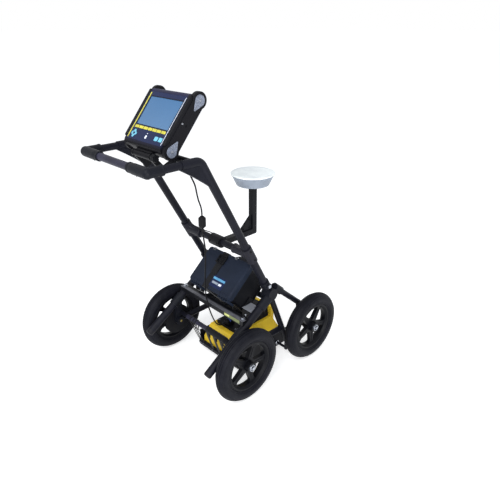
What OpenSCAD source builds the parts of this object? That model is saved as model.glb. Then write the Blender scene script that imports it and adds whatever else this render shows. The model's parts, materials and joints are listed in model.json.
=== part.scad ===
// Ground penetrating radar cart: a four wheeled push cart that carries a radar
// antenna on a skid, a battery box, a satellite antenna and a tilting display.
// Millimetres. +X is the operator's right, +Y is forwards and +Z is up.
// The pieces are laid out from the rear axle at ground level, then centred.

/* [Wheels] */
// Outer diameter of a tyre
wheel_d = 318; // [280:1:340]
// Width of a tyre
tyre_w = 56; // [50:1:64]
// Distance between the tyres' middle planes
track = 510; // [500:1:560]
// Distance between the front and rear axles
wheelbase = 404; // [380:1:430]
// Diameter of the rim's tyre seat
rim_d = 208; // [190:1:216]
// Width of a rim over its flanges
rim_w = 41; // [36:1:44]
// Thickness of the rim's outer band
rim_band_t = 10; // [8:1:14]
// Thickness of the spoked web
spoke_t = 18; // [12:1:24]
// Number of spokes
spoke_count = 5; // [4:1:6]
// Outer diameter of a wheel hub
hub_d = 48; // [40:1:54]
// Length of a wheel hub
hub_w = 56; // [48:1:58]
// Outer diameter of a wheel bearing
bearing_d = 28; // [24:1:32]
// Width of a wheel bearing
bearing_w = 8; // [6:1:10]
// Diameter of an axle
axle_d = 12; // [10:1:14]

/* [Handle] */
// Height of the handle above the ground
handle_z = 1012; // [960:1:1060]
// Distance of the handle behind the rear axle
handle_reach = 339; // [310:1:370]
// Distance from a tyre's middle plane in to a side rail
rail_inset = 67; // [65:1:71]
// Diameter of the handle tube and of the side arms
handle_tube_d = 26; // [22:1:28]
// Diameter of the moulded sleeves at the handle's ends
sleeve_d = 36; // [34:1:42]
// Length of a moulded sleeve along the handle
sleeve_len = 95; // [70:1:120]
// Length of a sleeve's socket along the side arm
socket_len = 54; // [40:1:70]

/* [Side rails] */
// Diameter of a side rail
rail_d = 31; // [28:1:34]
// Distance of a rail's upper corner behind the rear axle
corner_reach = 140; // [120:1:160]
// Place of the frame's apex ahead of the rear axle
apex_y = 188; // [180:1:200]
// Height of the frame's apex
apex_z = 404; // [390:1:420]
// Wall of every frame tube
tube_wall = 2; // [1.5:0.1:3]
// Wall of a moulded frame fitting
fitting_wall = 5; // [4:0.5:7]
// Thickness of the web in the rail's corner
web_t = 20; // [12:1:21]
// Reach of the corner web along the arm
web_arm_len = 108; // [80:1:120]
// Reach of the corner web down the rail
web_rail_len = 128; // [90:1:140]
// Height of the upper cross tube
tee_z = 605; // [590:1:620]
// Diameter of the upper cross tube
cross_tube_d = 28; // [24:1:32]

/* [Lower frame] */
// Diameter of a rear side tube
rear_tube_d = 34; // [30:1:36]
// Distance from a tyre's middle plane in to a rear side tube
rear_tube_inset = 54; // [52:1:56]
// Place of the rear tube's front end ahead of the rear axle
rear_tube_top_y = 176; // [170:1:178]
// Height of the rear tube's front end
rear_tube_top_z = 377; // [370:1:382]
// Reach of a rear tube behind the rear axle
rear_tube_reach = 150; // [120:1:160]
// Drop of a rear tube over its whole run
rear_tube_drop = 205; // [190:1:210]
// Diameter of a front leg
leg_d = 25; // [22:1:27]
// Place of a front leg's foot ahead of the rear axle
leg_foot_y = 319; // [310:1:330]
// Height of a front leg's foot
leg_foot_z = 83; // [75:1:95]
// Diameter of a front strut
strut_d = 25; // [22:1:27]
// Distance from a tyre's middle plane in to a front strut
strut_inset = 55; // [53:1:57]
// Place of the front strut's knee ahead of the rear axle
strut_knee_y = 375; // [360:1:385]
// Height of the front strut's knee
strut_knee_z = 270; // [260:1:280]
// Diameter of a lower side rail
lower_rail_d = 26; // [22:1:28]
// Height of a lower side rail
lower_rail_z = 172; // [168:1:178]
// Diameter of the bosses that hold the axles
boss_d = 40; // [34:1:46]
// Thickness of a rear axle hanger
hanger_t = 10; // [8:1:12]
// Place of the shelf bar ahead of the rear axle
shelf_y = 42; // [38:1:46]
// Height of the shelf bar's underside
shelf_z = 307; // [305:1:310]
// Width of the shelf bar
shelf_w = 34; // [28:1:36]
// Height of the shelf bar
shelf_h = 22; // [20:1:26]
// Diameter of the suspension bar
suspension_bar_d = 20; // [16:1:24]

/* [Radar] */
// Width of the skid
skid_w = 260; // [240:1:280]
// Height of the skid's underside above the ground
skid_z = 18; // [12:1:24]
// Height of the skid's walls
skid_h = 44; // [36:1:50]
// Width of the radar housing at its foot
radar_w = 216; // [200:1:230]
// Width of the radar housing at its top
radar_top_w = 158; // [140:1:180]
// Length of the radar housing
radar_len = 296; // [280:1:306]
// Height of the radar housing
radar_h = 132; // [120:1:140]

/* [Battery box] */
// Lean of the battery box
battery_lean = 41; // [38:1:44]
// Width of the box's lid
battery_w = 258; // [240:1:270]
// Length of the box's lid
battery_len = 174; // [160:1:180]
// Depth of the whole box
battery_depth = 148; // [140:1:152]
// Height of the lid
lid_h = 30; // [24:1:36]
// Wall of the box
battery_wall = 4; // [3:0.5:6]
// Width of the webbing strap
strap_w = 36; // [25:1:50]

/* [Satellite antenna] */
// Diameter of the antenna's top
gps_d = 186; // [170:1:200]
// Diameter of the antenna's foot
gps_foot_d = 138; // [120:1:150]
// Height of the antenna's top
gps_top_z = 854; // [840:1:880]
// Height of the antenna
gps_h = 54; // [45:1:60]
// Place of the mast ahead of the rear axle
mast_y = 283; // [275:1:300]
// Side of the square mast
mast_w = 25; // [20:1:30]

/* [Display] */
// Lean of the display's face from level
display_lean = 50; // [45:1:55]
// Width of the display's shell
display_w = 210; // [190:1:216]
// Height of the display's shell along its face
display_h = 221; // [210:1:235]
// Depth of the display's shell
display_depth = 70; // [60:1:76]
// Width of a side bumper
bumper_w = 14; // [10:1:18]
// Radius of a bumper's lobes
lobe_r = 29; // [26:1:32]
// Diameter of the tilt knob
knob_d = 28; // [22:1:32]
// Travel of a key
key_travel = 1; // [0.6:0.1:1.4]

/* [Hidden] */
$fn = 48;
// Play of a tube in its fitting, and of a shaft in its bearing
fit_gap = 0.05;
// Room between a moving piece and its neighbour
move_gap = 0.3;
// Every cut runs past the solid by this much
overrun = 2;
// Half turns used to mirror a piece
SIDES = [-1, 1];

// Wheels
tyre_mid_r = (wheel_d - tyre_w) / 2;
flange_h = 5;
flange_t = 3;
rim_lip = 1.5;
bead_h = 18;
groove_w = 3;
groove_depth = 3.5;
groove_pitch = 9;
hub_bore_room = 4;
hub_bore_d = axle_d + 2 * hub_bore_room;
hub_web = 9;
spoke_root_w = 32;
spoke_w = 20;
spoke_tip_w = 40;
spoke_flare = 14;
axle_z = wheel_d / 2;
rear_right_phase = 213;
front_right_phase = 201.5;
rear_left_phase = 205;
front_left_phase = 240;
hub_gap = 0.3;
hub_inner_x = track / 2 - hub_w / 2;
shoulder_w = 2;
boss_outer_x = hub_inner_x - shoulder_w - hub_gap;
shoulder_step = 3;
shoulder_d = axle_d + 2 * shoulder_step;
pin_d = 5;
pin_len = 30;
ring_d = 26;
ring_wire_d = 3;
washer_t = 2.5;
washer_d = 24;
pin_x = track / 2 + hub_w / 2 + hub_gap + washer_t + pin_d / 2;
axle_tail = 3;
axle_end_x = pin_x + pin_d / 2 + axle_tail;

// Frame lines, as points at the right hand side
rail_x = track / 2 - rail_inset;
rear_tube_x = track / 2 - rear_tube_inset;
strut_x = track / 2 - strut_inset;
corner_pt = [rail_x, -corner_reach, handle_z];
apex_pt = [rail_x, apex_y, apex_z];
rail_run = unit(apex_pt - corner_pt);
rail_bend_r = 32;
bend_reach = 78;
bend_pt = corner_pt - [0, bend_reach, 0];
arm_end_pt = [rail_x, sleeve_d - handle_reach, handle_z];
foot_pt = [rail_x, leg_foot_y, leg_foot_z];
leg_run = unit(foot_pt - apex_pt);
rear_top_pt = [rear_tube_x, rear_tube_top_y, rear_tube_top_z];
rear_end_pt = [rear_tube_x, -rear_tube_reach, rear_tube_top_z - rear_tube_drop];
rear_run = unit(rear_end_pt - rear_top_pt);
knee_pt = [strut_x, strut_knee_y, strut_knee_z];
web_sag_share = 6;
strut_rise = 129;
strut_reach = 145;
strut_run = unit([0, strut_reach, -strut_rise]);
knee_swell = 0.6;
strut_top_pt = knee_pt - strut_run * (norm([strut_reach, strut_rise]));
front_hub_pt = [strut_x, wheelbase, axle_z];
tee_pt = corner_pt + rail_run * ((handle_z - tee_z) / -rail_run.z);
tee_len = 76;
tee_web_t = 16;
tee_flare_len = 70;
apex_len = 58;
leg_sleeve_len = 40;
apex_hub_d = 54;
leg_start = 6;
clamp_up = 38;
clamp_boss_d = 26;
clamp_boss_rise = 3;
clamp_pt = apex_pt - rail_run * clamp_up;
clamp_face = rail_x + rail_d / 2 + fitting_wall + clamp_boss_rise;
hanger_y = 0;
hanger_pt = rear_top_pt + rear_run * ((rear_top_pt.y - hanger_y) / -rear_run.y);
hanger_len = 56;
hanger_w = 40;
boss_inner_x = rear_tube_x - rear_tube_d / 2;
cap_len = 12;
cap_round = 8;
shelf_half = rear_tube_x + rear_tube_d / 8;
suspension_y = 14;
suspension_z = 194;
leg_tube_z = 340;
leg_tube_pt = apex_pt + leg_run * ((apex_z - leg_tube_z) / -leg_run.z);
leg_tube_d = 25;
link_d = 12;
link_w = 20;
link_t = 8;
link_z = skid_z + skid_h / 2;

// Radar and skid
skid_y = 225;
skid_wall = 6;
skid_floor = 8;
skid_nose = 12;
skid_low = skid_z + skid_floor;
radar_play = 11;
skid_len = radar_len + 2 * skid_wall + 2 * radar_play;
radar_back = 6;
radar_y = skid_y - radar_back;
radar_end_share = 0.12;
radar_waist_share = 0.42;
hump_h = 48;
hump_t = 16;
hump_root = 40;
hump_edge = 2;
cover_w = 130;
cover_h = 13;
cover_back = 110;
cover_step = 205;
cover_box_h = 46;
cover_lip = 2;
plug_d = 26;
plug_len = 34;
socket_y = 130;
socket_rise = 16;
lead_d = 12;
lead_x = 39;
lead_len = 22;
strap_t = 3;
hanging_strap_w = 16;
side_strap_w = 6;
strap_x_shares = [-0.94, -0.82, -0.70, -0.12, 0.23, 0.56, 0.70, 0.82, 0.94];
thin_strap_limit_share = 0.6;

// Battery box
box_foot_y = 16;
box_foot_z = 403;
lid_round = 14;
lid_inset = 4;
case_inset = 6;
case_round = 12;
channel_depth = 3;
strap_off = -20;
rib_count = 5;
rib_w = 6;
rib_pitch = 14;
rib_h = 3;
webbing_t = 2.4;
tray_t = 4;
tray_inset = 3;
tray_w = battery_w - 2 * tray_inset;
tray_len = 132;
tray_lip = 92;
tray_side_len = 66;
tray_side_h = 34;
tab_t = 8;
tab_x = 62;
tab_len = 30;
cell_gap = 0.3;
cell_h = 96;
post_d = 14;
post_h = 8;

// Satellite antenna
gps_rim_h = 7;
gps_rim_round = 3;
gps_dome_h = 3;
gps_crown_w = 26;
mast_foot_z = 577;
mast_plate_d = 74;
mast_plate_t = 5;
arm_z = mast_foot_z + mast_w / 2;
gusset_run = 72;
gusset_rise = 78;
gusset_t = 12;
clamp_wall = 10;
clamp_d = cross_tube_d + 2 * clamp_wall;
clamp_w = 62;
mast_round = 7;

// Display, in its own frame: x across, y up the face and z out of the face
pivot_y = -232;
pivot_rise = 4;
pivot_z = handle_z + pivot_rise;
pivot_d = 8;
knuckle_d = 22;
knuckle_w = 91;
knuckle_lift = 7;
ear_t = 8;
ear_w = 19;
ear_boss_d = 24;
ear_low_y = -190;
ear_low_drop = 44;
ear_low_z = handle_z - ear_low_drop;
mount_drop = 18;
mount_z = handle_z - mount_drop;
mount_tube_d = 25;
mount_pt = [0, corner_pt.y + (corner_pt.z - mount_z) * rail_run.y / -rail_run.z, mount_z];
gland_d = 14;
gland_len = 12;
gland_x = 112;
knob_w = 22;
knob_lobes = 6;
knob_neck_share = 0.7;
knob_core_share = 0.82;
knob_lobe_share = 0.24;
knob_lobe_place_share = 0.38;
foot_v = 17;
face_w = 24;
shell_round = 18;
face_foot = 18;
face_h = 184;
panel_t = 3;
panel_edge = 3;
key_flange = 1;
key_flange_t = 1.2;
key_room = 1.5;
cavity_depth = move_gap + key_flange_t + key_travel + key_room;
cavity_edge = 4;
lobe_in = 22;
lobe_depth = 35;
waist_w = 46;
plate_r = 19;
plate_tip_r = 3;
plate_tip = 36;
plate_t = 2;
side_screw_d = 8;
screen_left = -86;
screen_right = 93;
screen_foot = 93;
screen_top = 200;
screen_sunk = 1;
screen_t = cavity_depth + panel_t - screen_sunk;
key_round = 2;
key_rise = 1.2;
soft_key_count = 7;
soft_key_w = 22;
soft_key_h = 10;
soft_key_pitch = 25.4;
soft_key_v = 83;
pad_x = -70;
pad_v = 57;
pad_petal_d = 12;
pad_petal_r = 9;
select_x = 3;
select_v = 53;
select_w = 8;
select_h = 12;
square_key_w = 18;
square_key_h = 15;
square_key_x = 60;
square_key_pitch = 24;
square_key_v = 56;

// Odometer on the left rear wheel
odometer_d = 138;
odometer_t = 16;
odometer_cap_d = 96;
odometer_cap_t = 4;

// Fasteners
bolt_head_d = 17;
bolt_head_t = 5;

// Free leads, as points along their middles
connector_top_pt = [52, -36, 757.7];
connector_foot_pt = [44, -30, 704.8];
display_cable_d = 6;
display_cable_route = [
    [gland_x, -130, 969], [111.5, -127, 954.5], [109.5, -120.5, 940.5], [106.5, -113, 928],
    [103, -105, 915.5], [99, -97.5, 902.5], [95, -91.5, 889], [90.5, -86, 875], [86, -80.5, 861.5],
    [81.5, -74.5, 848.5], [76, -68, 835.5], [71, -60.5, 823], [65.5, -53, 811], [61, -46, 798],
    [57, -40.5, 784], [54, -37.5, 769.5], connector_top_pt];
connector_d = 29;
connector_neck_d = 11;
connector_neck_len = 10;
radar_cable_route = [
    connector_foot_pt, [42, -28.5, 693], [39.5, -25.5, 675], [36, -20.5, 657.5], [33, -16, 640],
    [30.5, -11.5, 622], [28.5, -9, 604], [26.5, -7.5, 585.5], [25, -6.5, 567], [23.5, -6, 549],
    [22, -6, 530.5], [20.5, -6, 512], [18.5, -6, 493.5], [16.5, -5.5, 475.5], [14, -5, 457],
    [12, -4, 438.5], [10, -2.5, 420.5], [8, -0.5, 402], [6.5, 2, 384], [4.5, 5, 365.5],
    [2.5, 9.5, 348], [0.5, 14, 330], [0, 18.5, 312], [0, 23, 294.5], [0, 28.5, 276.5],
    [0, 34.5, 259], [0, 41, 242], [0, 48.5, 225], [0, 57.5, 209], [0, 70, 195], [0, 86, 187],
    [0, 96, 187]];
gps_cable_d = 4;
gps_cable_route = [
    [-172, 55, 650], [-163, 55, 650], [-152, 56, 648], [-141, 59, 644], [-130, 62, 638], [-119, 66, 632],
    [-108, 70, 627], [-97, 74, 624], [-87, 79, 623], [-77, 85, 622], [-67, 92, 619], [-58, 100, 614],
    [-50, 108, 607], [-43, 117, 600], [-37, 126, 595], [-31, 134, 592], [-24, 140, 590], [-12.5, 140, 590]];
cord_sides = 8;

// Middle of the cart's length, measured from the rear axle
front_reach = wheelbase + wheel_d / 2;
back_reach = handle_reach + sleeve_d / 2;
centre_y = (front_reach - back_reach) / 2;

function unit(v) = v / norm(v);
function at_x(p, x) = [x, p.y, p.z];

// Moves a piece from the rear axle's frame to the cart's middle
module placed() translate([0, -centre_y, 0]) children();

// A piece and its mirror image
module both_sides() {
    children();
    mirror([1, 0, 0]) children();
}

// Stands a piece on a point, with its Z axis along a line
module along(a, v) translate(a) rotate([0, acos(v.z / norm(v)), atan2(v.y, v.x)]) children();

// Solid round bar between two points
module rod(a, b, d) along(a, b - a) cylinder(d = d, h = norm(b - a));

// Solid round bar along three points, bent round an arc at the middle one
module bent_rod(a, b, c, d, r) {
    u = unit(b - a);
    v = unit(c - b);
    turn = acos(u * v);
    n = unit(v - u * (u * v));
    z = cross(u, n);
    start = b - u * r * tan(turn / 2);
    mid = start + n * r;
    rod(a, start, d);
    multmatrix([[-n.x, u.x, z.x, mid.x], [-n.y, u.y, z.y, mid.y], [-n.z, u.z, z.z, mid.z]])
        rotate_extrude(angle = turn) translate([r, 0]) circle(d = d);
    rod(b + v * r * tan(turn / 2), c, d);
}

// Hollow tube between two points
module tube(a, b, d) {
    run = unit(b - a) * overrun;
    difference() {
        rod(a, b, d);
        rod(a - run, b + run, d - 2 * tube_wall);
    }
}

// Bar across the cart at a height and a place along it
module bar_x(x0, x1, y, z, d) rod([x0, y, z], [x1, y, z], d);

// Flat outline in the plane of travel, given its thickness across the cart
module slab_x(x0, t) translate([x0, 0, 0]) rotate([90, 0, 90]) linear_extrude(t) children();

// Flat bar with round ends
module bar_2d(a, b, w) {
    translate(a) rotate(atan2(b.y - a.y, b.x - a.x)) translate([0, -w / 2]) square([norm(b - a), w]);
    translate(a) circle(d = w);
    translate(b) circle(d = w);
}

// Rectangle with round corners, centred across and standing on its lower edge
module round_rect(w, h, r) {
    translate([-w / 2, r]) square([w, h - 2 * r]);
    translate([r - w / 2, 0]) square([w - 2 * r, h]);
    for (x = [r - w / 2, w / 2 - r], y = [r, h - r]) translate([x, y]) circle(r = r);
}

// Flat bar between two round bosses that are wider than the bar
module link_2d(a, b, w, boss) {
    translate(a) rotate(atan2(b.y - a.y, b.x - a.x)) translate([0, -w / 2]) square([norm(b - a), w]);
    translate(a) circle(d = boss);
    translate(b) circle(d = boss);
}

// Tube swept along a lead's route
module cord(points, d) {
    n = len(points);
    rings = [for (i = [0 : n - 1])
        let (t = unit(points[min(i + 1, n - 1)] - points[max(i - 1, 0)]),
             side = unit(cross(t, abs(t.x) > abs(t.y) + abs(t.z) ? [0, 0, 1] : [1, 0, 0])),
             up = cross(side, t))
        for (k = [0 : cord_sides - 1])
            points[i] + (side * cos(360 * k / cord_sides) + up * sin(360 * k / cord_sides)) * d / 2];
    walls = [for (i = [0 : n - 2], k = [0 : cord_sides - 1])
        let (a = i * cord_sides + k, b = i * cord_sides + (k + 1) % cord_sides)
        each [[a, b, b + cord_sides], [a, b + cord_sides, a + cord_sides]]];
    foot = [for (k = [1 : cord_sides - 2]) [0, k + 1, k]];
    top = (n - 1) * cord_sides;
    head = [for (k = [1 : cord_sides - 2]) [top, top + k, top + k + 1]];
    polyhedron(rings, concat(walls, foot, head));
}

// Solid lines of the frame, used for the tubes and for the bores that hold them
module rail_line(d) rod(corner_pt, apex_pt, d);
module arm_line(d) rod(arm_end_pt, bend_pt, d);
module leg_line(d) rod(apex_pt + leg_run * leg_start, foot_pt, d);
module rear_line(d) rod(rear_top_pt, rear_end_pt, d);
module strut_line(d) rod(strut_top_pt, knee_pt, d);
module upper_cross_line(d) bar_x(-tee_pt.x, tee_pt.x, tee_pt.y, tee_pt.z, d);

// Handle

module handlebar_tube() {
    half = rail_x - sleeve_d;
    color("#26262b") placed() tube([-half, -handle_reach, handle_z], [half, -handle_reach, handle_z],
        handle_tube_d);
}

module handle_elbow() {
    corner = [rail_x, -handle_reach, handle_z];
    inner = corner - [sleeve_len, 0, 0];
    taper = sleeve_len / 4;
    difference() {
        union() {
            translate(inner) rotate([0, 90, 0])
                cylinder(d1 = handle_tube_d + fitting_wall, d2 = sleeve_d, h = taper);
            rod(inner + [taper, 0, 0], corner, sleeve_d);
            translate(corner) sphere(d = sleeve_d);
            rod(corner, corner + [0, socket_len, 0], sleeve_d - fitting_wall / 2);
        }
        rod(inner - [overrun, 0, 0], corner - [sleeve_d, 0, 0], handle_tube_d + 2 * fit_gap);
        rod(arm_end_pt, corner + [0, socket_len + overrun, 0], handle_tube_d + 2 * fit_gap);
    }
}

module handle_elbows() color("#17171a") placed() both_sides() handle_elbow();

// Side rails

module corner_web(t) {
    arm_pt = [-corner_reach - web_arm_len, handle_z];
    rail_pt = [corner_pt.y, corner_pt.z] + [rail_run.y, rail_run.z] * web_rail_len;
    chord = rail_pt - arm_pt;
    sag_r = norm(chord) * web_sag_share;
    mid = (arm_pt + rail_pt) / 2;
    down = unit([chord.y, -chord.x]);
    slab_x(rail_x - t / 2, t) difference() {
        polygon([arm_pt, [corner_pt.y, corner_pt.z], rail_pt]);
        translate(mid + down * sqrt(sag_r * sag_r - norm(chord) * norm(chord) / 4)) circle(r = sag_r, $fn = 96);
    }
}

module side_rail() {
    difference() {
        union() {
            arm_line(handle_tube_d);
            bent_rod(bend_pt, corner_pt, apex_pt, rail_d, rail_bend_r);
            corner_web(web_t);
        }
        rod(arm_end_pt - [0, overrun, 0], bend_pt + [0, overrun, 0], handle_tube_d - 2 * tube_wall);
        bent_rod(bend_pt, corner_pt, apex_pt + rail_run * overrun, rail_d - 2 * tube_wall, rail_bend_r);
    }
}

module side_rails() color("#1b1b20") placed() both_sides() side_rail();

module tee_fitting() {
    reach = rail_d / 2 + tee_flare_len;
    half = cross_tube_d / 2 + fitting_wall;
    lean = asin(rail_run.y);
    difference() {
        union() {
            rod(tee_pt - rail_run * tee_len / 2, tee_pt + rail_run * tee_len / 2, rail_d + 2 * fitting_wall);
            bar_x(tee_pt.x - reach, tee_pt.x, tee_pt.y, tee_pt.z, 2 * half);
            translate(tee_pt) rotate([lean, 0, 0]) rotate([90, 0, 0]) translate([0, 0, -tee_web_t / 2])
                linear_extrude(tee_web_t) polygon([[-reach, -half / 2], [-reach, half / 2],
                    [-rail_d / 2, tee_len / 2], [0, tee_len / 2], [0, -tee_len / 2],
                    [-rail_d / 2, -tee_len / 2]]);
        }
        rail_line(rail_d + 2 * fit_gap);
        upper_cross_line(cross_tube_d + 2 * fit_gap);
    }
}

module tee_fittings() color("#2b2a30") placed() both_sides() tee_fitting();

module cross_tubes() {
    half = rail_x - rail_d / 2 - tube_wall;
    hanger_half = rear_tube_x - hanger_t / 2 - fit_gap;
    color("#1d1d22") placed() {
        tube(at_x(tee_pt, -half), at_x(tee_pt, half), cross_tube_d);
        difference() {
            tube(at_x(leg_tube_pt, -rail_x), at_x(leg_tube_pt, rail_x), leg_tube_d);
            both_sides() leg_line(leg_d + 2 * fit_gap);
        }
        tube([-hanger_half, suspension_y, suspension_z], [hanger_half, suspension_y, suspension_z],
            suspension_bar_d);
    }
}

// Lower frame

module apex_fitting() {
    wall = 2 * fitting_wall;
    difference() {
        union() {
            rod(apex_pt - rail_run * apex_len, apex_pt, rail_d + wall);
            rod(apex_pt, apex_pt + leg_run * leg_sleeve_len, leg_d + wall);
            rod(rear_top_pt, rear_top_pt + rear_run * apex_len, rear_tube_d + wall);
            rod(strut_top_pt - strut_run * strut_d, strut_top_pt + strut_run * apex_len / 2, strut_d + wall);
            bar_x(rail_x - rail_d / 2, strut_x + apex_hub_d / 3, apex_y, apex_z - apex_hub_d / 4, apex_hub_d);
            bar_x(rail_x, clamp_face, clamp_pt.y, clamp_pt.z, clamp_boss_d);
        }
        rail_line(rail_d + 2 * fit_gap);
        leg_line(leg_d + 2 * fit_gap);
        rear_line(rear_tube_d + 2 * fit_gap);
        strut_line(strut_d + 2 * fit_gap);
    }
}

module apex_fittings() color("#1a1a1e") placed() both_sides() apex_fitting();

module rear_tubes() color("#1d1d22") placed() both_sides() tube(rear_top_pt, rear_end_pt, rear_tube_d);

module tube_end_cap() along(rear_end_pt, rear_run) rotate_extrude() {
    translate([0, -cap_len]) square([rear_tube_d / 2 - tube_wall - fit_gap, cap_len]);
    square([rear_tube_d / 2, cap_len]);
    square([rear_tube_d / 2 - cap_round, cap_len + cap_round]);
    translate([rear_tube_d / 2 - cap_round, cap_len]) circle(r = cap_round);
}

module tube_end_caps() color("#3a3634") placed() both_sides() tube_end_cap();

module front_leg() {
    difference() {
        union() {
            leg_line(leg_d);
            translate(foot_pt) sphere(d = leg_d);
            slab_x(rail_x - link_t / 2, link_t)
                bar_2d([leg_foot_y, foot_pt.z], [leg_foot_y, link_z], link_w);
            bar_x(skid_w / 2 + fit_gap, rail_x, leg_foot_y, link_z, link_d);
        }
        leg_line(leg_d - 2 * tube_wall);
    }
}

module front_legs() color("#19191d") placed() both_sides() front_leg();

module front_strut() {
    difference() {
        union() {
            rod(strut_top_pt, knee_pt, strut_d);
            translate(knee_pt) sphere(d = strut_d + 2 * knee_swell);
            rod(knee_pt, front_hub_pt, strut_d);
            bar_x(strut_x - strut_d / 2, boss_outer_x, wheelbase, axle_z, boss_d);
        }
        rod(strut_top_pt - strut_run * overrun, knee_pt - strut_run * strut_d, strut_d - 2 * tube_wall);
        bar_x(rail_x - strut_d, boss_outer_x + overrun, wheelbase, axle_z, axle_d + 2 * fit_gap);
    }
}

module front_struts() color("#1b1b20") placed() both_sides() front_strut();

module axle_hanger() {
    difference() {
        union() {
            rod(hanger_pt - rear_run * hanger_len / 2, hanger_pt + rear_run * hanger_len / 2,
                rear_tube_d + 2 * fitting_wall);
            slab_x(rear_tube_x - hanger_t / 2, hanger_t)
                bar_2d([hanger_y, axle_z], [hanger_y, hanger_pt.z], hanger_w);
            bar_x(boss_inner_x, boss_outer_x, hanger_y, axle_z, boss_d);
        }
        rear_line(rear_tube_d + 2 * fit_gap);
        bar_x(boss_inner_x - overrun, boss_outer_x + overrun, hanger_y, axle_z, axle_d + 2 * fit_gap);
    }
}

module axle_hangers() color("#1b1b20") placed() both_sides() axle_hanger();

module lower_rail() {
    start = [rail_x, hanger_y + boss_d / 2 + fit_gap, lower_rail_z];
    end = apex_pt + leg_run * ((apex_z - lower_rail_z) / -leg_run.z);
    difference() {
        tube(start, end - [0, leg_d / 4, 0], lower_rail_d);
        leg_line(leg_d + 2 * fit_gap);
    }
}

module lower_rails() color("#1d1d22") placed() both_sides() lower_rail();

module shelf_bar() {
    wall = 2 * tube_wall;
    color("#6b6a78") placed() difference() {
        translate([-shelf_half, shelf_y - shelf_w / 2, shelf_z]) cube([2 * shelf_half, shelf_w, shelf_h]);
        translate([-shelf_half - overrun, shelf_y - shelf_w / 2 + tube_wall, shelf_z + shelf_h / 2])
            cube([2 * shelf_half + 2 * overrun, shelf_w - wall, shelf_h / 2 - tube_wall]);
        both_sides() rear_line(rear_tube_d + 2 * fit_gap);
    }
}

// Radar antenna on its skid

module skid_profile(inset) {
    back = skid_y - skid_len / 2 + inset;
    front = skid_y + skid_len / 2 - inset;
    low = skid_z + inset;
    high = skid_z + skid_h;
    polygon([[back + skid_nose, low], [front - skid_nose, low], [front, low + skid_nose],
        [front, high], [back, high], [back, low + skid_nose]]);
}

module skid_tray() {
    color("#141416") placed() difference() {
        slab_x(-skid_w / 2, skid_w) skid_profile(0);
        translate([-skid_w / 2 + skid_wall, skid_y - skid_len / 2 + skid_wall, skid_low])
            cube([skid_w - 2 * skid_wall, skid_len - 2 * skid_wall, skid_h]);
    }
}

module radar_housing() {
    top = skid_low + radar_h;
    waist = skid_low + radar_h * radar_waist_share;
    slope = radar_len * radar_end_share;
    back = radar_y - radar_len / 2;
    front = radar_y + radar_len / 2;
    hump_w = radar_top_w - 2 * hump_edge;
    color("#d9b02c") placed() {
        intersection() {
            slab_x(-radar_w / 2, radar_w) polygon([[back, skid_low], [front, skid_low], [front, waist],
                [front - slope, top], [back + slope / 2, top], [back, waist]]);
            translate([0, front + overrun, 0]) rotate([90, 0, 0]) linear_extrude(radar_len + 2 * overrun)
                polygon([[-radar_w / 2, skid_low], [radar_w / 2, skid_low], [radar_w / 2, waist],
                    [radar_top_w / 2, top], [-radar_top_w / 2, top], [-radar_w / 2, waist]]);
        }
        translate([-hump_w / 2, front - slope, top - hump_root]) cube([hump_w, hump_t, hump_root + hump_h]);
    }
}

module radar_cover() {
    top = skid_low + radar_h;
    front = radar_y + radar_len / 2 - radar_len * radar_end_share - fit_gap;
    color("#1a1a1c") placed() translate([0, 0, top]) {
        translate([0, cover_back, 0]) linear_extrude(cover_h) round_rect(cover_w, front - cover_back, cover_h);
        translate([0, cover_step, 0]) linear_extrude(cover_box_h)
            round_rect(cover_w - 2 * cover_lip, front - cover_step - cover_lip, cover_h);
    }
}

module radar_connectors() {
    top = skid_low + radar_h + cover_h;
    color("#2d3f86") placed() {
        translate([0, socket_y, top + socket_rise]) rotate([-90, 0, 0]) {
            translate([0, 0, -plug_len])
                cylinder(d1 = display_cable_d + fitting_wall, d2 = plug_d, h = plug_len / 2);
            translate([0, 0, -plug_len / 2]) cylinder(d = plug_d, h = plug_len);
        }
        translate([-plug_d / 2, socket_y - plug_len / 3, top]) cube([plug_d, plug_len, socket_rise]);
        for (i = SIDES) translate([i * lead_x, socket_y + plug_len, top]) cylinder(d = lead_d, h = lead_len);
    }
}

module suspension_strap(x, w) {
    bar = [suspension_y, suspension_z];
    edge = [skid_y - skid_len / 2 - strap_t / 2 - fit_gap, skid_z + skid_h - strap_t];
    slab_x(x - w / 2, w) difference() {
        union() {
            translate(bar) circle(d = suspension_bar_d + 2 * strap_t);
            bar_2d(bar, edge, strap_t);
            bar_2d(edge, edge - [0, skid_h / 4], strap_t);
        }
        translate(bar) circle(d = suspension_bar_d + 2 * fit_gap);
    }
}

module suspension_straps() {
    color("#101012") placed() for (share = strap_x_shares)
        suspension_strap(share * skid_w / 2,
            abs(share) > thin_strap_limit_share ? side_strap_w : hanging_strap_w);
}

// Battery box, in its own frame: x across, y up the lid and z out of the lid

module box_frame() translate([0, box_foot_y, box_foot_z]) rotate([battery_lean, 0, 0]) children();

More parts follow.
